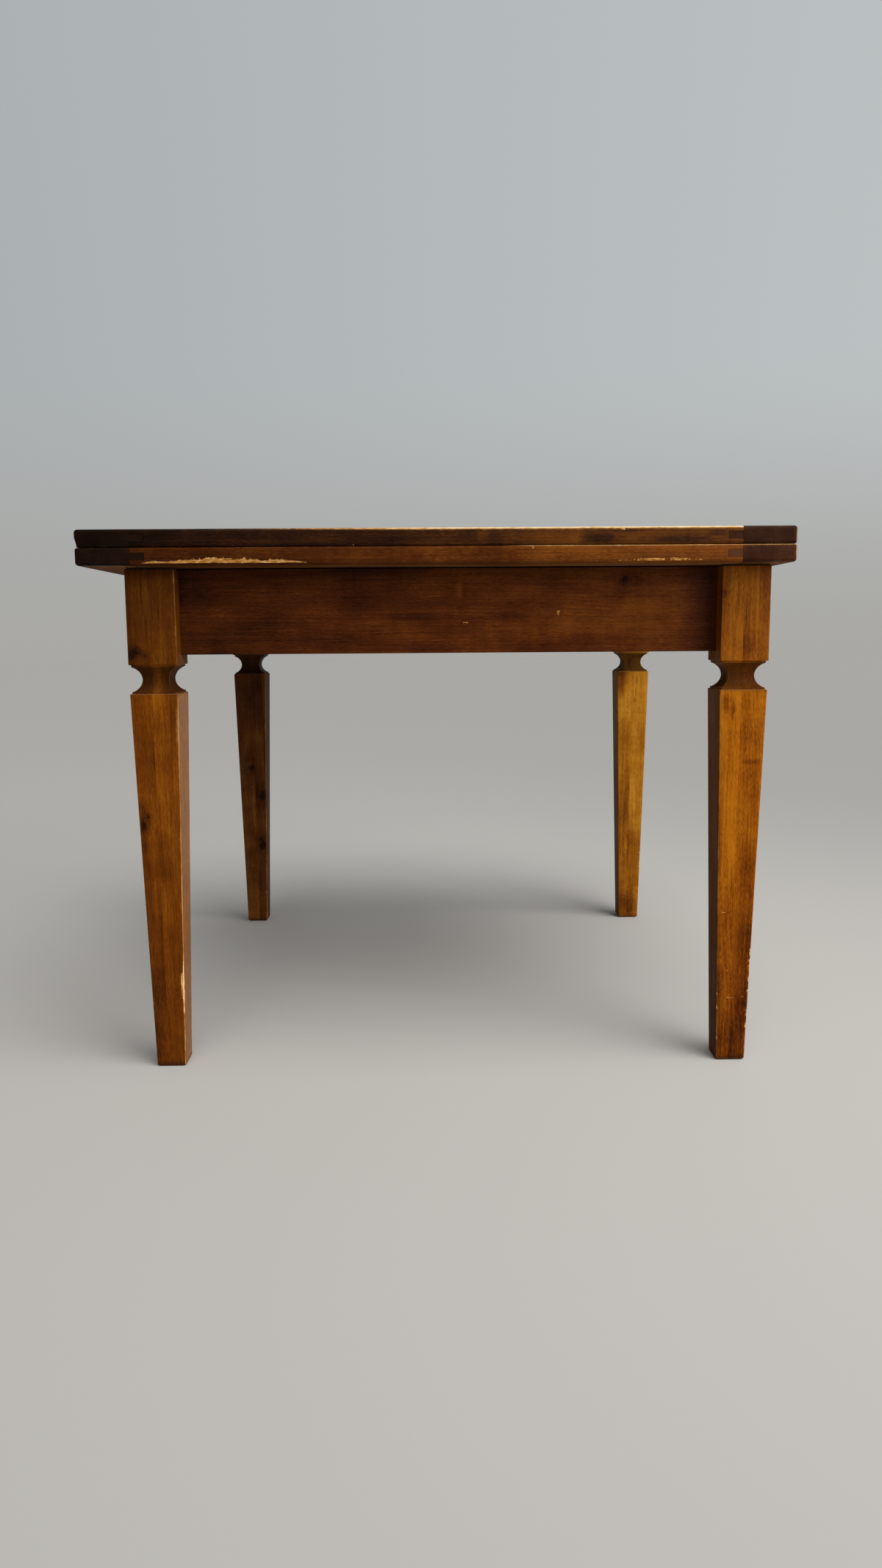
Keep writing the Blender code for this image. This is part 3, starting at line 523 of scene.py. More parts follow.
class Wear:
    """What use has done to each point of a skin, with the shade and highlights painted on it. Distances in
    its waves are times waves per metre.
    """

    PAINTED = ("bare", "rub", "grime", "unvarnished", "own_stain")
    FLAKE_DEPTH = 0.0004
    CHIP_DEPTH = 0.0007

    def __init__(self, mesh):
        self.mesh = mesh
        self.points = self.read("co")
        self.normals = self.read("normal")
        self.marks = {name: np.zeros(len(self.points)) for name in ("depth", *self.PAINTED)}

    def read(self, name):
        flat = np.empty(len(self.mesh.vertices) * 3, np.float32)
        self.mesh.vertices.foreach_get(name, flat)
        return flat.reshape(-1, 3).astype(float)

    def add(self, **marks):
        """Raises marks to the values given, where these are higher."""
        for name, values in marks.items():
            self.marks[name] = np.maximum(self.marks[name], values)

    def along_line(self, start, end):
        """Each point's share of the way along a line, its distance along it and its offset from it."""
        offset = self.points - np.array(start)
        line = np.array(end) - np.array(start)
        length = np.linalg.norm(line)
        share = offset @ line / length**2
        return share, share * length, offset - share[:, None] * line

    def torn_strip(self, start, end, side, reach, back, depth, seed, shape):
        """Strip torn out along a line, ragged towards side and nearly straight behind it."""
        share, distance, rest = self.along_line(start, end)
        side = np.array(side, float)
        across = rest @ side
        aside = np.linalg.norm(rest - across[:, None] * side, axis=1)
        outline = np.interp(share, np.linspace(0, 1, len(shape)), shape)
        ragged = 0.46 + 0.80 * rough_wave(distance * 150, seed)
        spike = 0.60 * smooth(rough_wave(distance * 360, seed + 3), 0.62, 0.88)
        top = reach * window(share, 0.02, 0.98, 0.02) * outline * (ragged + spike)
        low = back * (0.5 + rough_wave(distance * 90, seed + 5))
        cover = smooth(top - across, -0.0003, 0.0005) * smooth(across + low, -0.0002, 0.0004)
        cover = cover * (share > 0) * (share < 1) * (aside < 0.003)
        fibres = rough_wave(across * 1500 + ripple(distance * 60, seed) * 2, seed + 9)
        self.add(depth=cover * depth * (0.45 + 0.55 * fibres), bare=cover)

    def flake_line(self, start, end, spread, share_gone, seed):
        """Small flakes off the varnish in a broken line."""
        share, distance, rest = self.along_line(start, end)
        aside = np.linalg.norm(rest, axis=1)
        patch = rough_wave(distance * 24, seed)
        spot = ripple(distance * 420 + 7.0 * ripple(aside * 900, seed + 1), seed + 2)
        least = 0.92 - 0.5 * share_gone
        gone = smooth(0.45 * patch + 0.65 * spot, least, least + 0.10)
        cover = gone * fall(aside, 0.35 * spread, spread * (0.4 + 0.8 * patch))
        cover = cover * window(share, 0.015, 0.985, 0.015)
        self.add(depth=cover * self.FLAKE_DEPTH, bare=cover)

    def arris(self, to_first, to_second, position, span, strength, seed, chips=0.0, reach=0.0022):
        """Rub along an arris where two faces meet, with small flakes broken out of it."""
        near = np.maximum(to_first, to_second)
        inside = window(position, *span, 0.01)
        wander = 0.45 + 1.1 * rough_wave(position * 40, seed)
        rub = fall(near, 0.2 * reach, reach * wander) * inside
        self.add(rub=rub * strength * (0.45 + 0.8 * rough_wave(position * 16, seed + 2)))
        if chips:
            least = 0.84 - 0.34 * chips
            flake = smooth(rough_wave(position * 190, seed + 4), least, least + 0.08)
            size = reach * (0.5 + 1.1 * rough_wave(position * 210, seed + 6))
            cover = flake * fall(near, 0.55 * size, size) * inside
            self.add(depth=cover * self.CHIP_DEPTH, bare=cover)

    def dent(self, place, radius, depth, bare, stretch=(1.0, 1.0, 1.0)):
        offset = self.points - np.array(place)
        distance = np.linalg.norm(offset / np.array(stretch), axis=1) / radius
        wobble = 0.25 * np.sin(np.arctan2(*offset[:, (0, 2)].T) * 3 + radius * 9000)
        cover = fall(distance + wobble, 0.45, 1.0)
        self.add(depth=cover * depth, bare=cover * bare)

    def press(self):
        """Moves the skin in and paints its marks."""
        moved = self.points - self.normals * self.marks["depth"][:, None]
        self.mesh.vertices.foreach_set("co", moved.astype(np.float32).ravel())
        for name in self.PAINTED:
            paint = self.mesh.attributes.new(name, "FLOAT", "POINT")
            paint.data.foreach_set("value", self.marks[name].astype(np.float32))
        self.mesh.update()


def dress(node, mesh, body, material):
    """Piece that stands for a CAD node on its body."""
    mesh.shade_smooth()
    mesh.set_sharp_from_angle(angle=CREASE_ANGLE)
    mesh.materials.clear()
    mesh.materials.append(material)
    piece = show(node + "_dressed", mesh)
    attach(piece, body)
    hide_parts(node)


def steps_between(start, end, step):
    """Evenly spaced values from start to end, both included."""
    count = max(1, round(abs(end - start) / step))
    return np.linspace(start, end, count + 1)


# Legs

LEG_FLAT_STEPS = 10
LEG_ARC_STEPS = 5
LEG_COVE_STEPS = 26
LEG_SOFT_EDGE = 0.0010
# The long arrises are finest at a height, and rounder at the foot
LEG_ARRIS_FINE = 0.0012
LEG_ARRIS_FOOT = 0.0024
LEG_ARRIS_FINE_HEIGHT = 0.56
# How near a point is to a face that it counts as part of, and to the taper's rim
ON_FACE = (0.0004, 0.0014)
ON_RIM = (0.0005, 0.0016)
NECK_FADE = 0.002
OWN_TONE_SEAM = 0.0012
# Heights between which the painted shade at the foot fades
FOOT_SHADE = (0.002, 0.012)
# Where a painted reflection lightens the neck, from the leg's middle, and how wide
NECK_SHEEN_PLACE = 0.004
NECK_SHEEN_WIDTH = 0.006
LEG_PITH = (0.07, 0.11)
# Stain of the faces that look outwards and to the rear, the same on every leg
LEG_COMMON_TONES = ("2a1102", "592804", "793b06", "a25d10")
# Rub of an arris, where its flakes start and stop, and how many there are
USUAL_ARRIS = (0.55, 0.02, 0.24, 0.12)
BARE_ARRIS_WIDTH = 0.0026
BARE_ARRIS_LEAST = 0.0009
BARE_ARRIS_FADE = 0.0004
BARE_ARRIS_DEPTH = 0.0009

# Each leg's tones from dark to light, which carry painted light and shade on its front and inner
# faces: darker on the left legs, darkest at the rear left and golden at the rear right. Then the tone
# of its glued strips and where each starts from the leg's middle, how its tone changes between two
# heights, how strong its figure is, its painted shade on the block and in the cove and how much a
# painted reflection lightens the cove, its worn arrises by their signs, its side face with painted
# shade or a painted highlight as (sign, amount), and its marks: knots as (x, y, z, radius, darkness),
# smudges as (x, y, z, reach across and along, darkness) and scratches as (x, y, z, half sizes)
LEGS = {
    ("front", "left"): dict(
        tones=("2a1202", "562905", "733a07", "9a5a10"),
        strips=[(-0.036, 0.43), (-0.003, 0.47), (0.021, 0.45)],
        drift=(0.02, 0.52, 0.16),
        figure=0.64,
        block_shade=0.40,
        neck_shade=0.70,
        neck_sheen=0.30,
        arrises={(1, -1): (1.0, 0.02, 0.30, 0.22)},
        bare_arris=((1, -1), 0.070, 0.174),
        lit_face=(1, 0.45),
        knots=[
            (-0.4305, -0.4552, 0.3735, 0.0042, 1.2),
            (-0.4245, -0.4555, 0.3865, 0.0036, 1.1),
            (-0.4277, -0.460, 0.628, 0.0060, 0.40),
            (-0.4375, -0.460, 0.6172, 0.0052, 0.9),
            (-0.4177, -0.460, 0.6185, 0.0040, 0.7),
        ],
        smudges=[
            (-0.4360, -0.4545, 0.345, 0.012, 0.045, 0.16),
            (-0.4330, -0.4560, 0.395, 0.010, 0.022, 0.14),
            (-0.4360, -0.4600, 0.625, 0.014, 0.022, 0.18),
            (-0.4080, -0.4600, 0.7415, 0.060, 0.022, 0.22),
            (-0.4260, -0.4480, 0.045, 0.016, 0.050, 0.12),
            (-0.4204, -0.4600, 0.711, 0.0016, 0.034, 0.24),
            (-0.3969, -0.4600, 0.680, 0.0013, 0.060, 0.22),
            (-0.4060, -0.4600, 0.690, 0.0011, 0.050, 0.18),
            (-0.4150, -0.4600, 0.655, 0.0012, 0.030, 0.18),
            (-0.4400, -0.4600, 0.680, 0.0060, 0.070, 0.10),
        ],
    ),
    ("front", "right"): dict(
        tones=("2c1202", "5c2a04", "7f4006", "a8610d"),
        strips=[(-0.036, 0.58), (-0.003, 0.48)],
        drift=(0.02, 0.38, 0.26),
        figure=0.88,
        block_shade=0.28,
        neck_shade=0.72,
        neck_sheen=0.08,
        arrises={(-1, -1): (0.7, 0.03, 0.17, 0.62), (1, -1): (0.7, 0.05, 0.18, 0.85)},
        shaded_face=(-1, 0.66),
        knots=[(0.410, -0.460, 0.702, 0.0050, 0.5)],
        smudges=[
            (0.4170, -0.4585, 0.545, 0.008, 0.026, 0.30),
            (0.4280, -0.4585, 0.536, 0.005, 0.024, 0.26),
            (0.4580, -0.4565, 0.459, 0.020, 0.006, 0.20),
            (0.4560, -0.4520, 0.300, 0.018, 0.070, 0.12),
            (0.4540, -0.4480, 0.080, 0.020, 0.070, 0.14),
            (0.4560, -0.4500, 0.230, 0.018, 0.160, 0.12),
            (0.4305, -0.4600, 0.690, 0.0012, 0.040, 0.24),
            (0.4424, -0.4600, 0.672, 0.0013, 0.045, 0.22),
            (0.4480, -0.4600, 0.700, 0.0010, 0.030, 0.20),
            (0.4545, -0.4600, 0.665, 0.0012, 0.040, 0.22),
            (0.4225, -0.4600, 0.660, 0.0011, 0.030, 0.18),
            (0.4345, -0.4560, 0.470, 0.0010, 0.060, 0.16),
            (0.4280, -0.4580, 0.530, 0.0010, 0.030, 0.20),
            (0.4130, -0.4530, 0.360, 0.010, 0.080, 0.12),
            (0.4190, -0.4500, 0.120, 0.010, 0.060, 0.18),
            (0.4100, -0.4600, 0.695, 0.018, 0.080, 0.24),
            (0.4560, -0.4600, 0.690, 0.014, 0.075, -0.12),
            (0.4420, -0.4600, 0.628, 0.030, 0.020, 0.10),
            (0.4320, -0.4480, 0.040, 0.020, 0.060, 0.12),
        ],
        scratches=[
            (0.4240, -0.4515, 0.2325, 0.0034, 0.0040, 0.0007),
            (0.4375, -0.4490, 0.0995, 0.0075, 0.0040, 0.0006),
            (0.4570, -0.4490, 0.1010, 0.0030, 0.0040, 0.0005),
            (0.4330, -0.4500, 0.1420, 0.0020, 0.0040, 0.0006),
        ],
    ),
    ("rear", "left"): dict(
        tones=("1e0d04", "3c1d08", "532c0d", "78481b"),
        strips=[(-0.036, 0.54), (0.004, 0.50), (0.026, 0.53)],
        drift=(0.10, 0.46, -0.10),
        figure=0.64,
        block_shade=0.40,
        neck_shade=0.56,
        neck_sheen=0.10,
        arrises={(1, -1): (0.8, 0.01, 0.14, 0.36)},
        shaded_face=(1, 0.52),
        knots=[
            (-0.412, 0.3953, 0.354, 0.0100, 0.75),
            (-0.388, 0.3967, 0.291, 0.0100, 0.8),
            (-0.391, 0.3993, 0.179, 0.0110, 1.2),
        ],
        smudges=[
            (-0.4080, 0.3905, 0.540, 0.040, 0.120, 0.10),
            (-0.3990, 0.4010, 0.100, 0.014, 0.050, 0.10),
        ],
    ),
    ("rear", "right"): dict(
        tones=("3d1d05", "763f0c", "9c6012", "c58828"),
        strips=[(-0.036, 0.47), (-0.002, 0.53)],
        drift=(0.02, 0.52, 0.17),
        figure=0.62,
        block_shade=0.28,
        neck_shade=0.82,
        neck_sheen=0.0,
        arrises={(1, -1): (0.7, 0.02, 0.16, 0.70)},
        shaded_face=(-1, 0.62),
        smudges=[
            (0.4515, 0.3905, 0.545, 0.0016, 0.016, 0.60),
            (0.4492, 0.3910, 0.520, 0.0014, 0.014, 0.55),
            (0.4470, 0.3915, 0.500, 0.0016, 0.012, 0.40),
            (0.4330, 0.3960, 0.300, 0.008, 0.120, 0.12),
            (0.4385, 0.3990, 0.165, 0.005, 0.070, 0.18),
            (0.4420, 0.4020, 0.030, 0.030, 0.050, 0.14),
            # Painted shade over the left of the front face near the top
            (0.4160, 0.3905, 0.550, 0.017, 0.070, 0.30),
        ],
    ),
}


def square_ring():
    """Outline of a rounded square: a part that grows with its half-width, and one with its arris."""
    grows = []
    rounds = []
    for quarter in range(4):
        turn = quarter * pi / 2
        corner, next_corner = (np.array([cos(a) - sin(a), sin(a) + cos(a)]) for a in (turn, turn + pi / 2))
        angles = turn + np.linspace(0, pi / 2, LEG_ARC_STEPS)
        arcs = np.stack([np.cos(angles), np.sin(angles)], -1)
        grows += [corner] * LEG_ARC_STEPS
        rounds += list(arcs - corner)
        for share in np.linspace(0, 1, LEG_FLAT_STEPS + 1)[1:-1]:
            grows.append(corner * (1 - share) + next_corner * share)
            rounds.append((arcs[-1] - corner) * (1 - share) + (arcs[-1] - next_corner) * share)
    return np.array(grows), np.array(rounds)


def leg_profile(block_half, top):
    """Half-widths and heights down a leg, close together everywhere."""
    block_bottom = top - BLOCK_HEIGHT
    cove_top = block_bottom - UPPER_FILLET_HEIGHT
    taper_top = cove_top - COVE_HEIGHT - LOWER_FILLET_HEIGHT
    soft = LEG_SOFT_EDGE
    radius = (COVE_HEIGHT**2 / 4 + COVE_DEPTH**2) / (2 * COVE_DEPTH)
    half_angle = asin(COVE_HEIGHT / (2 * radius))
    angles = np.linspace(pi - half_angle, pi + half_angle, LEG_COVE_STEPS + 1)
    cove_x = FILLET_HALF - COVE_DEPTH + radius
    cove_z = cove_top - COVE_HEIGHT / 2
    corners = [(block_half - soft, top), (block_half, top - soft)]
    corners += [(block_half, block_bottom + soft), (block_half - soft * 0.3, block_bottom + soft * 0.3)]
    corners += [(block_half - soft, block_bottom), (FILLET_HALF, block_bottom)]
    corners += [(cove_x + radius * cos(a), cove_z + radius * sin(a)) for a in angles]
    corners += [(FILLET_HALF, taper_top), (TAPER_TOP_HALF - soft, taper_top)]
    corners += [(TAPER_TOP_HALF - soft * 0.3, taper_top - soft * 0.3), (TAPER_TOP_HALF, taper_top - soft)]
    corners += [(FOOT_HALF, FOOT_CHAMFER), (FOOT_HALF - FOOT_CHAMFER, 0.0)]
    profile = [corners[0]]
    for first, second in zip(np.array(corners), np.array(corners[1:])):
        count = max(1, round(abs(second[1] - first[1]) / LEG_STEP))
        profile += [first * (1 - share) + second * share for share in np.linspace(0, 1, count + 1)[1:]]
    return np.array(profile)


def wear_leg(wear, leg, outward, profile, middle, top):
    """Painted shade and highlights, rubbed and flaked arrises, and which faces have the leg's own tones,
    which carry painted light and shade.
    """
    x, y, z = (wear.points - np.array((*middle[:2], 0.0))).T
    half = np.interp(-z, -profile[:, 1], profile[:, 0])
    to_x = half - np.abs(x)
    to_y = half - np.abs(y)
    block_bottom = top - BLOCK_HEIGHT
    taper_top = block_bottom - UPPER_FILLET_HEIGHT - COVE_HEIGHT - LOWER_FILLET_HEIGHT

    above_taper = smooth(z, taper_top - NECK_FADE, taper_top)
    below_block = smooth(-z, -block_bottom, NECK_FADE - block_bottom)
    depth_in_neck = np.clip((FILLET_HALF - half) / COVE_DEPTH, 0, 1)
    # Painted shade in the cove, deeper in its hollow, less where a painted reflection runs down it
    sheen = leg["neck_sheen"] * np.exp(-(((x - NECK_SHEEN_PLACE) / NECK_SHEEN_WIDTH) ** 2))
    wear.add(grime=above_taper * below_block * (leg["neck_shade"] + 0.12 * depth_in_neck - sheen))
    # Painted shade on the block under the leaves, darker towards its top
    wear.add(grime=(z > block_bottom) * (leg["block_shade"] + 0.16 * smooth(z, block_bottom, top)))
    # Painted shade at the foot, next to the floor
    wear.add(grime=0.55 * fall(z, *FOOT_SHADE))
    # Painted shade on the side face turned away from the lamps
    if "shaded_face" in leg:
        sign, amount = leg["shaded_face"]
        wear.add(grime=(np.sign(x) == sign) * fall(to_x, *ON_FACE) * amount)
    # Painted highlight on the side face turned to the lamps, below the taper
    if "lit_face" in leg:
        sign, amount = leg["lit_face"]
        wear.add(rub=(np.sign(x) == sign) * fall(to_x, *ON_FACE) * amount * (z < taper_top))
    wear.add(rub=0.50 * fall(np.abs(z - taper_top), *ON_RIM))

    # The front and inner faces take the leg's own tones, with their painted light and shade
    to_common = half - np.maximum(y, outward * x)
    to_own = half + np.minimum(y, outward * x)
    wear.add(own_stain=smooth(to_common - to_own, -OWN_TONE_SEAM, OWN_TONE_SEAM))

    for number, signs in enumerate(((-1, -1), (1, -1), (-1, 1), (1, 1))):
        away = np.where((np.sign(x) == signs[0]) & (np.sign(y) == signs[1]), 0.0, 1.0)
        strength, chips_from, chips_to, chips = leg["arrises"].get(signs, USUAL_ARRIS)
        seed = number + 10 * middle.x + 20 * middle.y
        for span, rub, own_seed, flakes, reach in (
            ((0.0, taper_top), strength, seed, 0.0, 0.0020),
            ((block_bottom, top), strength * 0.6, seed + 31, 0.0, 0.0018),
            ((chips_from, chips_to), strength, seed + 57, chips, 0.0022),
            ((taper_top, block_bottom), 0.50, seed + 71, 0.0, 0.0014),
        ):
            wear.arris(to_x + away, to_y + away, z, span, rub, own_seed, flakes, reach)
    if "bare_arris" in leg:
        signs, start, stop = leg["bare_arris"]
        here = (np.sign(x) == signs[0]) & (np.sign(y) == signs[1])
        width = BARE_ARRIS_WIDTH * np.sin(pi * np.clip((z - start) / (stop - start), 0, 1)) ** 0.6
        width = np.maximum(width, BARE_ARRIS_LEAST * (z < stop)) * (0.65 + 0.60 * rough_wave(z * 40, 77))
        cover = fall(np.maximum(to_x, to_y), 0.6 * width, width + BARE_ARRIS_FADE)
        cover = cover * here * (width > BARE_ARRIS_FADE)
        paleness = 1.0 + 0.65 * smooth(z, start, start + 0.02)
        wear.add(depth=cover * BARE_ARRIS_DEPTH, bare=cover * paleness)


def carve_leg(end, side, leg):
    """Square leg with its block, cove and long taper."""
    node = f"leg_{end}_{side}"
    low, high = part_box(node)
    middle = (low + high) / 2
    profile = leg_profile((high.x - low.x) / 2, high.z)
    grows, rounds = square_ring()
    arris = np.interp(profile[:, 1], [0.0, LEG_ARRIS_FINE_HEIGHT], [LEG_ARRIS_FOOT, LEG_ARRIS_FINE])
    outline = profile[:, 0, None, None] * grows + arris[:, None, None] * rounds
    heights = np.broadcast_to(profile[:, 1, None, None], (*outline.shape[:2], 1))
    mesh = skin(node + "_dressed", np.concatenate([outline + np.array(middle[:2]), heights], -1))
    wear = Wear(mesh)
    wear_leg(wear, leg, SIDES[side], profile, middle, high.z)
    wear.press()
    strips = [(middle.x + place, tone) for place, tone in leg["strips"]]
    wood = stained_wood(
        f"leg_wood_{end}_{side}",
        "Z",
        leg["tones"],
        pith=(middle.x + LEG_PITH[0], middle.y + LEG_PITH[1]),
        boards=("X", low.x - BOARD_MARGIN, high.x, strips),
        knots=leg.get("knots", ()),
        smudges=leg["smudges"],
        scratches=leg.get("scratches", ()),
        drift=leg["drift"],
        common_tones=LEG_COMMON_TONES,
        figure=leg["figure"],
    )
    dress(node, mesh, "frame", wood)


# Aprons

APRON_TONES = ("1d0a03", "381807", "4e240a", "6d3910")
# Painted light falloff of the front apron: lighter towards the right
APRON_LIGHT_FALLOFF = (-0.4, 0.4, 0.28)
APRON_ARC_POINTS = 4
APRON_PITH = (0.05, 0.15)
# Depth of the painted shade under the leaves along an apron's top
APRON_SHADE_REACH = 0.030
DENT_HALF_LENGTH = 0.006
DENT_HALF_HEIGHT = 0.005
# Knots and smudges as on the legs, and dents as (place, radius, depth, bareness, stretch)
APRON_KNOTS = {
    "front": [
        (0.2727, -0.432, 0.7236, 0.0078, 1.0),
        (0.0343, -0.432, 0.6847, 0.0026, 0.5),
        (-0.3406, -0.432, 0.7050, 0.0050, 0.25),
    ],
    "rear": [(-0.120, 0.432, 0.690, 0.0045, 0.8)],
    "left": [(-0.415, 0.180, 0.665, 0.0045, 0.8)],
    "right": [(0.449, -0.140, 0.700, 0.0040, 0.8)],
}
FRONT_APRON_SMUDGES = [
    # Painted shadow of the right leg over the apron's right end
    (0.3860, -0.432, 0.680, 0.300, 0.045, 0.30),
    (-0.0406, -0.432, 0.673, 0.009, 0.060, 0.16),
    (0.1020, -0.432, 0.673, 0.014, 0.035, 0.12),
    (0.0327, -0.432, 0.712, 0.024, 0.007, -0.20),
    (-0.0400, -0.432, 0.644, 0.014, 0.080, -0.09),
    (0.2606, -0.432, 0.695, 0.024, 0.016, 0.12),
    (-0.2300, -0.432, 0.655, 0.012, 0.070, -0.07),
]
FRONT_APRON_DENTS = [
    ((0.1765, -0.432, 0.6775), 0.0030, 0.0012, 1.0, (0.8, 1.0, 1.3)),
    ((0.0417, -0.432, 0.6636), 0.0016, 0.0005, 0.8, (3.4, 1.0, 0.7)),
]


def with_fine_places(values, places, half_span):
    """Adds closely spaced values around some places."""
    extra = [np.arange(place - half_span, place + half_span, DENT_STEP) for place in places]
    merged = np.unique(np.round(np.concatenate([values, *extra]), 5))
    inside = merged[(merged >= values.min()) & (merged <= values.max())]
    keep = np.concatenate([[True], np.diff(inside) > DENT_STEP * 0.6])
    keep[-1] = True
    return inside[keep]


def face_apron(which):
    """Apron between two legs, soft along its lower arrises."""
    node = f"apron_{which}"
    low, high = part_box(node)
    lengthwise = APRON_LENGTHS[which]
    long_axis = "XYZ".index(lengthwise)
    thick_axis = 1 - long_axis
    outward = {**ENDS, **SIDES}[which]
    outer = (high if outward > 0 else low)[thick_axis]
    thickness = high[thick_axis] - low[thick_axis]
    start = low[long_axis] + TENON_LENGTH + CLEARANCE
    stop = high[long_axis] - TENON_LENGTH - CLEARANCE
    in_front = which == "front"
    dents = FRONT_APRON_DENTS if in_front else []
    stations = steps_between(start, stop, APRON_STEP)
    stations = with_fine_places(stations, [place[0] for place, *_ in dents], DENT_HALF_LENGTH)
    heights = steps_between(low.z + APRON_ARRIS, high.z, APRON_STEP)
    heights = with_fine_places(heights, [place[2] for place, *_ in dents], DENT_HALF_HEIGHT)
    angles = np.linspace(pi / 2, 0, APRON_ARC_POINTS)
    lower_arc = [(APRON_ARRIS * (1 - sin(a)), low.z + APRON_ARRIS * (1 - cos(a))) for a in angles]
    outline = [(0.0, z) for z in heights[::-1]]
    outline += lower_arc[1:]
    outline += [(thickness - depth, z) for depth, z in lower_arc[::-1]]
    outline += [(thickness, high.z)]
    section = np.array(outline)
    rings = np.zeros((len(stations), len(section), 3))
    rings[:, :, long_axis] = stations[:, None]
    rings[:, :, thick_axis] = outer - outward * section[None, :, 0]
    rings[:, :, 2] = section[None, :, 1]
    mesh = skin(node + "_dressed", rings)

    wear = Wear(mesh)
    from_outer = outward * (outer - wear.points[:, thick_axis])
    along = wear.points[:, long_axis]
    z = wear.points[:, 2]
    seed = 3.0 + long_axis + outward
    wear.arris(from_outer, z - low.z, along, (start, stop), strength=0.20, seed=seed, reach=0.0018)
    # Painted shade under the leaves along the apron's top
    wear.add(grime=0.30 * fall(high.z - z, 0.0, APRON_SHADE_REACH))
    for dent in dents:
        wear.dent(*dent)
    wear.press()
    wood = stained_wood(
        f"apron_wood_{which}",
        lengthwise,
        APRON_TONES,
        pith=(outer - outward * APRON_PITH[0], low.z + APRON_PITH[1]),
        knots=APRON_KNOTS[which],
        smudges=FRONT_APRON_SMUDGES if in_front else (),
        drift=APRON_LIGHT_FALLOFF if in_front else None,
        figure=0.72,
    )
    dress(node, mesh, "frame", wood)


# Leaves

CORNER_ROUND = 0.0056
CORNER_STEPS = 8
ARRIS_STEPS = 12
END_PITH_DEPTH = 0.05
PANEL_PITH = (-0.46, -0.09)
PANEL_TONES = {
    "lower": ("1c0b03", "3a1906", "512709", "7a4312"),
    "upper": ("0d0603", "211008", "381d0b", "60350f"),
}
# Painted light falloff of each panel: lighter towards the right
PANEL_LIGHT_FALLOFF = {"lower": 0.34, "upper": 0.44}
# Glued boards of each panel, from the front: where each starts and its tone
PANEL_BOARDS = {
    "lower": [(-0.50, 0.50), (-0.385, 0.44), (-0.27, 0.56), (-0.16, 0.47), (-0.04, 0.53),
              (0.075, 0.43), (0.19, 0.55), (0.30, 0.48), (0.41, 0.52)],
    "upper": [(-0.50, 0.50), (-0.40, 0.57), (-0.29, 0.45), (-0.175, 0.53), (-0.06, 0.48),
              (0.05, 0.58), (0.165, 0.46), (0.28, 0.54), (0.395, 0.47)],
}
PANEL_SMUDGES = {
    "lower": (),
    "upper": [
        (-0.425, -0.500, 0.7805, 0.030, 0.110, 0.16),
        (0.227, -0.500, 0.7765, 0.010, 0.042, 0.30),
        (0.330, -0.500, 0.7745, 0.008, 0.075, 0.20),
        (0.392, -0.500, 0.7830, 0.008, 0.030, 0.18),
        (0.262, -0.500, 0.7870, 0.003, 0.050, 0.16),
        (0.062, -0.500, 0.7805, 0.020, 0.014, -0.16),
        (0.192, -0.500, 0.7805, 0.020, 0.018, -0.16),
    ],
}
END_TONES = {
    "left": ("070302", "110804", "1c0f08", "301a0c"),
    "right": ("0e0603", "211007", "351b0d", "532e19"),
}
# Rub of the upright arrises at an end's corners, at the right mostly a painted highlight, and where the rub
# of its long edges starts
CORNER_RUB_AND_SHEEN = {"left": 0.5, "right": 1.9}
EDGE_RUB_START = 0.424
# Tone of each end's board and of its tongue
END_STRIPS = {
    ("lower", "left"): (0.54, 0.63),
    ("lower", "right"): (0.54, 0.80),
    ("upper", "left"): (0.42, 0.57),
    ("upper", "right"): (0.48, 0.58),
}
# Long torn strip of the lower leaf: its ends, its height above the underside, how far it reaches up
# and down, its depth, and its outline from left to right as shares of the greatest height
TEAR_ENDS = (-0.408, -0.180)
TEAR_HEIGHT = 0.0034
TEAR_REACH = 0.0074
TEAR_BACK = 0.0006
TEAR_DEPTH = 0.0012
TEAR_OUTLINE = (0.14, 0.42, 0.38, 0.52, 0.68, 0.84, 1.00, 0.94, 0.92, 0.82, 0.40, 0.52, 0.60, 0.26, 0.14)
# Broken lines of flakes on the lower leaf's front edge: start and end as (x, height above the
# underside), how far they spread, the share that is gone, and a seed
LOWER_FLAKES = [
    ((0.205, 0.0030), (0.286, 0.0034), 0.0012, 0.50, 21),
    ((0.277, 0.0042), (0.316, 0.0044), 0.0026, 0.92, 35),
    ((0.323, 0.0044), (0.345, 0.0044), 0.0028, 0.84, 41),
    ((0.345, 0.0040), (0.372, 0.0038), 0.0016, 0.55, 47),
]
EDGE_DENT_DROP = 0.0030
# How far behind the front a worn upper arris with its painted highlight goes, and between which depths below
# it fades
LOWER_CROWN_BACK = 0.006
UPPER_CROWN_BACK = 0.0065
LOWER_CROWN = (0.0008, 0.0018)
END_HIGHLIGHT = (0.0006, 0.0013)
# Least and added width of the upper leaf's worn arris and its painted highlight
UPPER_CROWN_WIDTH = (0.0011, 0.0009)
# Between which places along X the rub and the bare wood of an arris grow
LOWER_RUB_GROWS = (0.08, 0.16)
LOWER_BARE_GROWS = (0.09, 0.14)
UPPER_RUB_GROWS = (-0.34, 0.05)
UPPER_BARE_GROWS = (-0.30, 0.02)
LOWER_CHIPS_START = -0.17


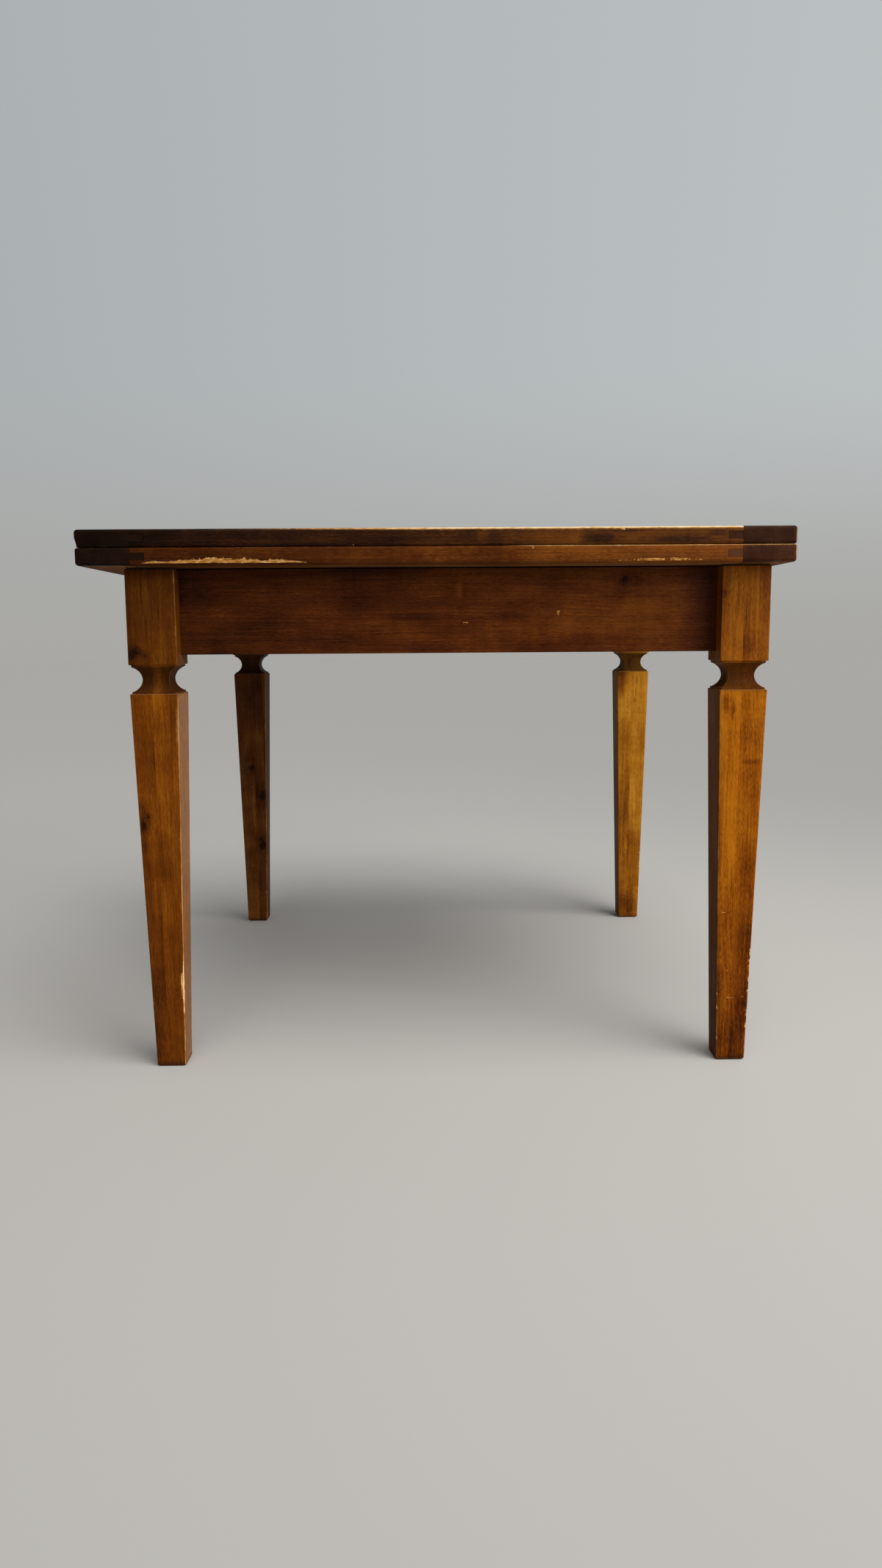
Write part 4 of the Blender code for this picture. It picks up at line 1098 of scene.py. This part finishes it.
def edge_levels(bottom, top, low_arris, high_arris, groove):
    """Heights up the edge of a leaf as (height, inset of the rounded arris, inside the groove)."""
    angles = np.linspace(0, pi / 2, ARRIS_STEPS + 1)
    levels = [(bottom, low_arris + CAP_MARGIN, False)]
    levels += [(bottom + low_arris * (1 - cos(a)), low_arris * (1 - sin(a)), False) for a in angles]
    levels += [(z, 0.0, False) for z in steps_between(bottom + low_arris, groove[0], LEVEL_STEP)[1:]]
    levels += [(z, 0.0, True) for z in steps_between(*groove, LEVEL_STEP)]
    levels += [(z, 0.0, False) for z in steps_between(groove[1], top - high_arris, LEVEL_STEP)]
    levels += [(top - high_arris * (1 - cos(a)), high_arris * (1 - sin(a)), False) for a in angles[::-1][1:]]
    return [*levels, (top, high_arris + CAP_MARGIN, False)]


def leaf_levels(leaf, low, high, gap):
    """Levels of a leaf, with a groove or a tongue about its middle."""
    arrises = (OUTER_ARRIS, INNER_ARRIS) if leaf == "lower" else (INNER_ARRIS, OUTER_ARRIS)
    middle = (low.z + high.z) / 2
    groove = (middle - TONGUE_THICKNESS / 2 - gap, middle + TONGUE_THICKNESS / 2 + gap)
    return edge_levels(low.z, high.z, *arrises, groove)


def panel_rings(leaf, low, high):
    """Plan outlines of a panel at each level, with the grooves at both of its ends."""
    sides = steps_between(low.y, high.y, PLAIN_STEP)[1:-1]
    plan = [(x, low.y, 0, 1) for x in steps_between(low.x, high.x, EDGE_STEP)]
    plan += [(high.x, y, 0, 0) for y in sides]
    plan += [(x, high.y, 0, -1) for x in steps_between(high.x, low.x, SIDE_STEP)]
    plan += [(low.x, y, 0, 0) for y in sides[::-1]]
    plan = np.array(plan)
    reach = TONGUE_LENGTH + CLEARANCE
    rings = []
    for z, inset, grooved in leaf_levels(leaf, low, high, CLEARANCE):
        ring = plan[:, :2] + plan[:, 2:] * inset
        if grooved:
            ring[:, 0] = np.clip(ring[:, 0], low.x + reach, high.x - reach)
        rings.append(np.column_stack([ring, np.full(len(ring), z)]))
    return np.array(rings)


def wear_lower_panel(wear, low, high):
    """Long torn strip at the left of the front edge, flakes at its right, and a rubbed upper arris with a
    painted highlight.
    """
    x, y, z = wear.points.T
    front = y - low.y
    tear = [(end, low.y, low.z + TEAR_HEIGHT) for end in TEAR_ENDS]
    wear.torn_strip(*tear, (0, 0, 1), TEAR_REACH, TEAR_BACK, TEAR_DEPTH, seed=5, shape=TEAR_OUTLINE)
    for start, end, spread, share_gone, seed in LOWER_FLAKES:
        ends = [(place, low.y, low.z + height) for place, height in (start, end)]
        wear.flake_line(*ends, spread, share_gone, seed)
    wear.dent((0.133, low.y, high.z - EDGE_DENT_DROP), radius=0.0020, depth=0.0008, bare=0.7)
    # Worn upper arris with a painted highlight, growing towards the right
    crown = fall(high.z - z, *LOWER_CROWN) * (front < LOWER_CROWN_BACK)
    wear.add(rub=crown * (0.25 + 1.15 * smooth(x, *LOWER_RUB_GROWS)))
    wear.add(bare=0.42 * crown * smooth(x, *LOWER_BARE_GROWS))
    span = (LOWER_CHIPS_START, high.x)
    wear.arris(front, z - low.z, x, span, strength=0.30, seed=53, chips=0.10, reach=0.0024)


def wear_upper_panel(wear, low, high):
    """Upper front arris worn through to pale wood, with a painted highlight, brightest at the right."""
    x, y, z = wear.points.T
    front = y - low.y
    share = smooth(x, *UPPER_RUB_GROWS)
    least, added = UPPER_CROWN_WIDTH
    width = (least + added * share) * (0.92 + 0.16 * rough_wave(x * 22, 61))
    # Worn pale arris with a painted highlight, and its softer glow and halo
    crown, glow, halo = (
        fall(high.z - z, start * width, stop * width) * (front < UPPER_CROWN_BACK)
        for start, stop in ((0.9, 1.3), (1.0, 2.0), (1.4, 4.2))
    )
    wear.add(rub=0.9 * glow * (0.35 + 0.65 * share))
    wear.add(rub=0.36 * halo * share, bare=1.7 * crown * smooth(x, *UPPER_BARE_GROWS))
    struck = (0.2577, low.y, high.z - EDGE_DENT_DROP)
    wear.dent(struck, radius=0.0024, depth=0.0010, bare=0.9, stretch=(1.8, 1.0, 0.9))
    wear.arris(front, z - low.z, x, (low.x, high.x), strength=0.25, seed=63, chips=0.06)


def wear_rear(wear, low, high):
    """Lighter wear along the rear edge."""
    x, y, z = wear.points.T
    rear = high.y - y
    span = (low.x, high.x)
    wear.arris(rear, high.z - z, x, span, strength=0.60, seed=71, chips=0.12, reach=0.0032)
    wear.arris(rear, z - low.z, x, span, strength=0.50, seed=73, chips=0.16, reach=0.0030)


def leave_underside_raw(wear, leaf, low):
    """The lower leaf was never varnished underneath."""
    if leaf == "lower":
        x, y, z = wear.points.T
        inside = np.maximum(np.abs(x), np.abs(y)) < TOP_HALF - OUTER_ARRIS - CAP_MARGIN / 2
        wear.add(unvarnished=inside & (z < low.z + MERGE_DISTANCE))


def plane_panel(leaf):
    """Panel of a leaf, its grain along X."""
    node = f"{leaf}_panel"
    low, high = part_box(node)
    mesh = skin(node + "_dressed", panel_rings(leaf, low, high))
    wear = Wear(mesh)
    wear_front = wear_lower_panel if leaf == "lower" else wear_upper_panel
    wear_front(wear, low, high)
    wear_rear(wear, low, high)
    leave_underside_raw(wear, leaf, low)
    wear.press()
    wood = stained_wood(
        f"{leaf}_panel_wood",
        "X",
        PANEL_TONES[leaf],
        pith=(PANEL_PITH[0], low.z + PANEL_PITH[1]),
        boards=("Y", low.y - BOARD_MARGIN, high.y, PANEL_BOARDS[leaf]),
        smudges=PANEL_SMUDGES[leaf],
        drift=(low.x, high.x, PANEL_LIGHT_FALLOFF[leaf]),
        drift_behind=0.35,
        gloss=0.38,
        figure=0.70,
    )
    dress(node, mesh, f"{leaf}_leaf", wood)


def corner_arc(x, y, start):
    """Quarter round about (x, y), as plan points with the way in which each is inset."""
    turns = [(cos(a), sin(a)) for a in np.linspace(start, start + pi / 2, CORNER_STEPS + 1)[1:-1]]
    return [(x + CORNER_ROUND * c, y + CORNER_ROUND * s, -c, -s, 0) for c, s in turns]


def end_rings(leaf, sign, low, high, bevelled):
    """Plan outlines of a breadboard end at each level, with the tongue on its inner side."""
    outer = max(abs(low.x), abs(high.x))
    inner = min(abs(low.x), abs(high.x)) + TONGUE_LENGTH
    half = high.y
    round_x = outer - CORNER_ROUND
    round_y = half - CORNER_ROUND
    tongue_half = half - CLEARANCE
    plan = [(x, -half, 0, 1, 0) for x in steps_between(inner, round_x, END_STEP)]
    plan += corner_arc(round_x, -round_y, -pi / 2)
    plan += [(outer, y, -1, 0, 0) for y in steps_between(-round_y, round_y, SIDE_STEP)]
    plan += corner_arc(round_x, round_y, 0.0)
    plan += [(x, half, 0, -1, 0) for x in steps_between(round_x, inner, END_STEP)]
    plan += [(inner, tongue_half, 0, -1, 0), (inner, tongue_half, 0, -1, 1)]
    plan += [(inner, y, 0, 0, 1) for y in steps_between(tongue_half, -tongue_half, PLAIN_STEP)[1:-1]]
    plan += [(inner, -tongue_half, 0, 1, 1), (inner, -tongue_half, 0, 1, 0)]
    plan = np.array(plan)
    rings = []
    for z, inset, tongued in leaf_levels(leaf, low, high, 0.0):
        insets = np.full(len(plan), inset)
        if bevelled:
            bevel = FINGER_BEVEL_DEPTH * max(0.0, 1 - (z - low.z) / FINGER_BEVEL_HEIGHT)
            insets = np.maximum(insets, bevel * np.abs(plan[:, 2]))
        ring = plan[:, :2] + plan[:, 2:4] * insets[:, None]
        ring[:, 0] = np.minimum(ring[:, 0], outer - inset)
        ring[:, 1] = np.clip(ring[:, 1], inset - half, half - inset)
        if tongued:
            ring[:, 0] -= plan[:, 4] * TONGUE_LENGTH
        ring[:, 0] *= sign
        rings.append(np.column_stack([ring, np.full(len(ring), z)]))
    return np.array(rings)


def box_cutter(name, low, high):
    mesh = bpy.data.meshes.new(name)
    work = bmesh.new()
    size = Matrix.Diagonal((*(Vector(high) - Vector(low)), 1.0))
    bmesh.ops.create_cube(work, size=1.0, matrix=Matrix.Translation((Vector(low) + Vector(high)) / 2) @ size)
    work.to_mesh(mesh)
    work.free()
    return bpy.data.objects.new(name, mesh)


def cut_hinge_pockets(mesh, leaf):
    """Lets the hinge plates and lugs into the inner face of a hinge-side end."""
    pockets = bpy.data.collections.new(f"{leaf}_pockets")
    bpy.context.scene.collection.children.link(pockets)
    for number in HINGE_NUMBERS:
        low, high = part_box(f"hinge_{number}_{leaf}_half")
        if leaf == "lower":
            plate_z = (high.z - HINGE_PLATE - CLEARANCE, high.z + OVERCUT)
            lug_z = (low.z - CLEARANCE, high.z + OVERCUT)
        else:
            plate_z = (low.z - OVERCUT, low.z + HINGE_PLATE + CLEARANCE)
            lug_z = (low.z - OVERCUT, high.z + CLEARANCE)
        for part, start, (bottom, top) in (
            ("plate", low.x, plate_z),
            ("lug", high.x - HINGE_LUG_LENGTH, lug_z),
        ):
            near = (start - CLEARANCE, low.y - CLEARANCE, bottom)
            far = (high.x + OVERCUT, high.y + CLEARANCE, top)
            pockets.objects.link(box_cutter(f"{leaf}_{part}_{number}", near, far))
    whole = show(mesh.name, mesh)
    cut = whole.modifiers.new("pockets", "BOOLEAN")
    cut.operation = "DIFFERENCE"
    cut.solver = "MANIFOLD"
    cut.operand_type = "COLLECTION"
    cut.collection = pockets
    result = plain_mesh(whole)
    for cutter in list(pockets.objects):
        bpy.data.objects.remove(cutter)
    bpy.data.collections.remove(pockets)
    return result


def wear_end(wear, leaf, side, low, high):
    """Rubbed arrises, most of all at the corners of the hinge side, where they also carry painted
    highlights.
    """
    x, y, z = wear.points.T
    outer = max(abs(low.x), abs(high.x)) - np.abs(x)
    seed = 80 + 3 * SIDES[side] + low.z * 10
    edges = (y - low.y, high.y - y)
    span = (EDGE_RUB_START, TOP_HALF)
    for face, strength in ((high.z - z, 0.55), (z - low.z, 0.35)):
        wear.arris(outer, face, y, (low.y, high.y), strength, seed, chips=0.10, reach=0.0030)
        for edge in edges:
            wear.arris(edge, face, np.abs(x), span, strength * 0.9, seed + 5, reach=0.0024)
    # At the right these corner rubs are mostly painted highlights
    for edge in edges:
        wear.arris(outer, edge, z, (low.z, high.z), CORNER_RUB_AND_SHEEN[side], seed + 9, reach=0.0030)
    # Painted highlight along the upper front arris of the lower leaf's right end, drawn as pale bare wood
    if (leaf, side) == ("lower", "right"):
        crown = fall(high.z - z, *END_HIGHLIGHT) * (y - low.y < LOWER_CROWN_BACK)
        wear.add(bare=1.5 * crown * (0.6 + 0.4 * rough_wave(x * 30, 87)))


def tongue_end(leaf, side):
    """Breadboard end across a panel, its grain along Y."""
    node = f"{leaf}_end_{side}"
    sign = SIDES[side]
    low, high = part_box(node)
    bevelled = (leaf, side) == ("upper", "left")
    mesh = skin(node + "_dressed", end_rings(leaf, sign, low, high, bevelled))
    wear = Wear(mesh)
    wear_end(wear, leaf, side, low, high)
    leave_underside_raw(wear, leaf, low)
    wear.press()
    if side == "right":
        mesh = cut_hinge_pockets(mesh, leaf)
    start, stop = sorted((sign * TONGUE_START, sign * (TOP_HALF + BOARD_MARGIN)))
    board_tone, tongue_tone = END_STRIPS[leaf, side]
    tones = (tongue_tone, board_tone) if side == "right" else (board_tone, tongue_tone)
    wood = stained_wood(
        f"{leaf}_end_wood_{side}",
        "Y",
        END_TONES[side],
        pith=(sign * TONGUE_START, low.z - END_PITH_DEPTH),
        boards=("X", start, stop, [(start, tones[0]), (sign * END_JOINT, tones[1])]),
        gloss=0.34,
        figure=0.5,
    )
    dress(node, mesh, f"{leaf}_leaf", wood)


# Screws

HINGE_SCREW = {"Head Radius": 0.0031, "Head Rise": 0.0001, "Head Depth": 0.0016,
               "Shank Radius": 0.0015, "Shank Length": 0.0110, "Slot Width": 0.0007}
BATTEN_SCREW = {"Head Radius": 0.0040, "Head Rise": 0.0006, "Head Depth": 0.0024,
                "Shank Radius": 0.0020, "Shank Length": 0.0120, "Slot Width": 0.0010}
HEAD_SIDES = 24
SHANK_SIDES = 12
# Shares along a runner and along a guide rail, and across and up a corner block
RUNNER_SCREWS = (0.12, 0.5, 0.88)
GUIDE_SCREWS = (0.10, 0.36, 0.64, 0.90)
BLOCK_SCREWS = ((0.16, 0.30), (0.84, 0.70))
RUNNER_SCREW_INSET = 0.010
GUIDE_SCREW_OFFSET = 0.004


def screw_tree():
    """Slotted countersunk screws on points, each turned to the way its point faces."""
    tree = bpy.data.node_groups.new("slotted_screws", "GeometryNodeTree")
    inputs = {"Seats": "Geometry", **{name: "Float" for name in BATTEN_SCREW}, "Metal": "Material"}
    for name, kind in inputs.items():
        tree.interface.new_socket(name, in_out="INPUT", socket_type="NodeSocket" + kind)
    tree.interface.new_socket("Screws", in_out="OUTPUT", socket_type="NodeSocketGeometry")
    lay = Nodes(tree)
    given = lay.add("NodeGroupInput").outputs

    def moved(shape, z):
        feeds = {"Geometry": shape, "Translation": lay.join(0.0, 0.0, z)}
        return lay.add("GeometryNodeTransform", feeds).outputs[0]

    head = lay.add("GeometryNodeMeshCone", {
        "Vertices": HEAD_SIDES,
        "Radius Top": given["Head Radius"],
        "Radius Bottom": given["Shank Radius"],
        "Depth": lay.math("ADD", given["Head Rise"], given["Head Depth"]),
    })
    seated = moved(head.outputs["Mesh"], lay.math("MULTIPLY", given["Head Depth"], -1.0))
    slot_length = lay.math("MULTIPLY", given["Head Radius"], 2.6)
    slot_depth = lay.math("MULTIPLY", given["Head Depth"], 0.9)
    slot_size = lay.join(slot_length, given["Slot Width"], slot_depth)
    slot = lay.add("GeometryNodeMeshCube", {"Size": slot_size})
    slotting = {"Mesh 1": seated, "Mesh 2": moved(slot.outputs["Mesh"], given["Head Rise"])}
    cut = lay.add("GeometryNodeMeshBoolean", slotting, operation="DIFFERENCE")
    shank = lay.add("GeometryNodeMeshCylinder", {
        "Vertices": SHANK_SIDES,
        "Radius": given["Shank Radius"],
        "Depth": given["Shank Length"],
    })
    below = lay.plus(lay.math("MULTIPLY", given["Head Depth"], -0.98), (given["Shank Length"], -0.5))
    whole = lay.add("GeometryNodeJoinGeometry", {0: moved(shank.outputs["Mesh"], below)})
    lay.feed(whole.inputs[0], cut.outputs["Mesh"])

    facing = lay.add("GeometryNodeInputNamedAttribute", data_type="FLOAT_VECTOR")
    facing.inputs["Name"].default_value = "facing"
    aim = lay.add("FunctionNodeAlignRotationToVector", {"Vector": facing.outputs["Attribute"]}, axis="Z")
    turn = lay.add("FunctionNodeRandomValue", data_type="FLOAT")
    turn.inputs["Max"].default_value = pi
    turn.inputs["Seed"].default_value = 7
    angle = lay.add("FunctionNodeAxisAngleToRotation", {"Angle": turn.outputs[1]})
    both_turns = {0: aim.outputs[0], 1: angle.outputs[0]}
    rotation = lay.add("FunctionNodeRotateRotation", both_turns, rotation_space="LOCAL").outputs[0]

    placed = {"Points": given["Seats"], "Instance": whole.outputs[0], "Rotation": rotation}
    instances = lay.add("GeometryNodeInstanceOnPoints", placed).outputs[0]
    real = lay.add("GeometryNodeRealizeInstances", {0: instances}).outputs[0]
    coated = lay.add("GeometryNodeSetMaterial", {"Geometry": real, "Material": given["Metal"]}).outputs[0]
    lay.add("NodeGroupOutput", {0: coated})
    return tree


SCREWS = screw_tree()


def drive_screws(name, seats, body, material, sizes, replaced=()):
    """Screws at (place, facing) seats, as one plain mesh on a body."""
    mesh = bpy.data.meshes.new(name + "_seats")
    mesh.from_pydata([tuple(place) for place, facing in seats], [], [])
    paint = mesh.attributes.new("facing", "FLOAT_VECTOR", "POINT")
    paint.data.foreach_set("vector", [part for place, facing in seats for part in facing])
    points = show(name + "_seats", mesh)
    maker = points.modifiers.new("screws", "NODES")
    maker.node_group = SCREWS
    values = {**sizes, "Metal": material}
    for item in SCREWS.interface.items_tree:
        if item.name in values:
            maker[item.identifier] = values[item.name]
    made = plain_mesh(points)
    made.name = name
    screws = show(name, made)
    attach(screws, body)
    if replaced:
        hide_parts(*replaced)


def drive_hinge_screws():
    for leaf, up in (("lower", 1), ("upper", -1)):
        seats = []
        replaced = [f"hinge_{number}_{leaf}_screw_{letter}" for number in HINGE_NUMBERS for letter in "ab"]
        for node in replaced:
            low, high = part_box(node)
            top = high.z if up > 0 else low.z
            seats.append((((low.x + high.x) / 2, (low.y + high.y) / 2, top), (0, 0, up)))
        drive_screws(f"hinge_screws_{leaf}", seats, f"{leaf}_leaf", BRASS, HINGE_SCREW, replaced)


def seats_below(low, high, y, shares):
    """Seats at shares of the length of a batten's underside, facing down."""
    return [((low.x + share * (high.x - low.x), y, low.z), (0, 0, -1)) for share in shares]


def drive_batten_screws():
    """Screws that hold the runners to the leaf, and the guide rails and corner blocks to the aprons."""
    runner_seats = []
    frame_seats = []
    for end, sign in ENDS.items():
        low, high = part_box(f"runner_{end}")
        y = (low.y if sign > 0 else high.y) + sign * RUNNER_SCREW_INSET
        runner_seats += seats_below(low, high, y, RUNNER_SCREWS)
        low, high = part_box(f"guide_rail_{end}")
        y = (low.y + high.y) / 2 + sign * GUIDE_SCREW_OFFSET
        frame_seats += seats_below(low, high, y, GUIDE_SCREWS)
    for end, y_sign in ENDS.items():
        for side, x_sign in SIDES.items():
            low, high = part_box(f"corner_block_{end}_{side}")
            inner = (low.x if x_sign > 0 else high.x, low.y if y_sign > 0 else high.y)
            outer = (high.x if x_sign > 0 else low.x, high.y if y_sign > 0 else low.y)
            facing = Vector((-x_sign, -y_sign, 0)).normalized()
            for across, up in BLOCK_SCREWS:
                x = inner[0] + across * (outer[0] - inner[0])
                y = outer[1] + across * (inner[1] - outer[1])
                frame_seats.append(((x, y, low.z + up * (high.z - low.z)), facing))
    drive_screws("runner_screws", runner_seats, "lower_leaf", STEEL, BATTEN_SCREW)
    drive_screws("frame_screws", frame_seats, "frame", STEEL, BATTEN_SCREW)


# Pieces that keep their own solids

WELD_DISTANCE = 0.00001
EASED_ANGLE = radians(40)
# Finish of each kind of node, and how far its sharp edges are eased
KEPT_NODES = {
    "corner_block": (BEECH["X"], 0.0010),
    "cross_rail": (BEECH["Y"], 0.0010),
    "guide_rail": (BEECH["X"], 0.0008),
    "runner": (BEECH["X"], 0.0008),
    "corner_bolt": (STEEL, 0.0005),
    "leg_felt": (FELT, 0.0004),
    "hinge": (BRASS, 0.0002),
}


def coat(piece, material, arris):
    """Gives a kept node its finish, and eases its sharp edges."""
    piece.data.materials.clear()
    piece.data.materials.append(material)
    weld = piece.modifiers.new("weld", "WELD")
    weld.merge_threshold = WELD_DISTANCE
    bevel = piece.modifiers.new("ease", "BEVEL")
    bevel.width = arris
    bevel.segments = 2
    bevel.limit_method = "ANGLE"
    bevel.angle_limit = EASED_ANGLE


for (leg_end, leg_side), leg_facts in LEGS.items():
    carve_leg(leg_end, leg_side, leg_facts)
for apron in APRON_LENGTHS:
    face_apron(apron)
for leaf_name in LEAVES:
    plane_panel(leaf_name)
    for side_name in SIDES:
        tongue_end(leaf_name, side_name)
drive_hinge_screws()
drive_batten_screws()
for node_name, node_piece in nodes.items():
    for node_kind, (node_finish, eased) in KEPT_NODES.items():
        if node_name.startswith(node_kind):
            coat(node_piece, node_finish, eased)


# Floor, light and camera

FLOOR_SIZE = 60.0
FLOOR_COLOUR = tint("c9c5bf")
# Colours at the left and at the right of the studio, and low behind the floor
AMBIENT = (tint("5c6062"), tint("9a9fa2"))
BACKGROUND = (tint("a0a5a7"), tint("c4c9ca"))
HORIZON = tint("a9a8a4")
SIDE_FADE = (-0.8, 0.8)
HORIZON_FADE = (-0.02, 0.24)
AIM = Vector((0.10, -0.10, 0.45))
# Round soft lamps whose grids keep most of their light off the floor: place and power
SOFT_LAMPS = {"front_light": ((2.5, -3.0, 1.75), 12.6), "side_light": ((2.9, -1.2, 1.40), 8.8)}
LAMP_SIZE = 2.6
LAMP_SPREAD = radians(70)
# Even light over the whole floor
HIGH_LIGHT_WAY = Vector((-0.25, 0.45, -1.0))
HIGH_LIGHT_POWER = 1.60
HIGH_LIGHT_SOFTNESS = radians(50)
# Camera of the picture: place, focal length in pixels, and angles in radians
CAMERA_PLACE = (-0.0155, -2.0262, 0.6438)
FOCAL_PIXELS = 1475.8
PICTURE_HEIGHT = 2133
SENSOR = 36.0
CAMERA_YAW = 0.01209
CAMERA_PITCH = 0.13511
CAMERA_ROLL = -0.0069


def lay_floor():
    mesh = bpy.data.meshes.new("floor")
    half = FLOOR_SIZE / 2
    corners = [(-half, -half, 0), (half, -half, 0), (half, half, 0), (-half, half, 0)]
    mesh.from_pydata(corners, [], [(0, 1, 2, 3)])
    finish = Finish("pale_floor")
    finish.set(Base_Color=FLOOR_COLOUR, Roughness=0.80, Specular_IOR_Level=0.10)
    mesh.materials.append(finish.material)
    floor = show("floor", mesh)


def hang_lamp(name, kind, place, towards, power, **settings):
    lamp = bpy.data.lights.new(name, kind)
    lamp.energy = power
    for key, value in settings.items():
        setattr(lamp, key, value)
    holder = show(name, lamp)
    holder.location = place
    holder.rotation_euler = towards.to_track_quat("-Z", "Y").to_euler()


def light_world():
    """Dim light that fades to the left, behind the pale background that the camera and every gloss see."""
    world = bpy.data.worlds.new("studio")
    world.use_nodes = True
    lay = Nodes(world.node_tree)
    right, _, up = lay.split(lay.add("ShaderNodeTexCoord").outputs["Generated"])
    to_right = lay.fade(right, *SIDE_FADE, kind="LINEAR")
    ambient = lay.mix(to_right, *AMBIENT)
    background = lay.mix(lay.fade(up, *HORIZON_FADE), HORIZON, lay.mix(to_right, *BACKGROUND))
    path = lay.add("ShaderNodeLightPath").outputs
    seen = path["Is Camera Ray"]
    for kind in ("Is Glossy Ray", "Is Transmission Ray"):
        seen = lay.math("MAXIMUM", seen, path[kind])
    dim = lay.add("ShaderNodeBackground", {"Color": ambient}).outputs[0]
    pale = lay.add("ShaderNodeBackground", {"Color": background}).outputs[0]
    choice = lay.add("ShaderNodeMixShader", {0: seen, 1: dim, 2: pale})
    lay.feed(lay.tree.nodes["World Output"].inputs["Surface"], choice.outputs[0])
    bpy.context.scene.world = world


def set_camera():
    lens = bpy.data.cameras.new("camera")
    lens.sensor_width = SENSOR
    lens.lens = FOCAL_PIXELS / PICTURE_HEIGHT * SENSOR
    camera = show("camera", lens)
    turn = Matrix.Rotation(-CAMERA_YAW, 4, "Z") @ Matrix.Rotation(pi / 2 - CAMERA_PITCH, 4, "X")
    camera.matrix_world = Matrix.Translation(CAMERA_PLACE) @ turn @ Matrix.Rotation(CAMERA_ROLL, 4, "Z")
    bpy.context.scene.camera = camera


lay_floor()
light_world()
for lamp_name, (lamp_place, lamp_power) in SOFT_LAMPS.items():
    lamp_way = AIM - Vector(lamp_place)
    lamp_form = {"shape": "DISK", "size": LAMP_SIZE, "spread": LAMP_SPREAD}
    hang_lamp(lamp_name, "AREA", lamp_place, lamp_way, lamp_power, **lamp_form)
high_place = AIM - HIGH_LIGHT_WAY
hang_lamp("high_light", "SUN", high_place, HIGH_LIGHT_WAY, HIGH_LIGHT_POWER, angle=HIGH_LIGHT_SOFTNESS)
set_camera()
bpy.context.scene.view_settings.view_transform = "Standard"
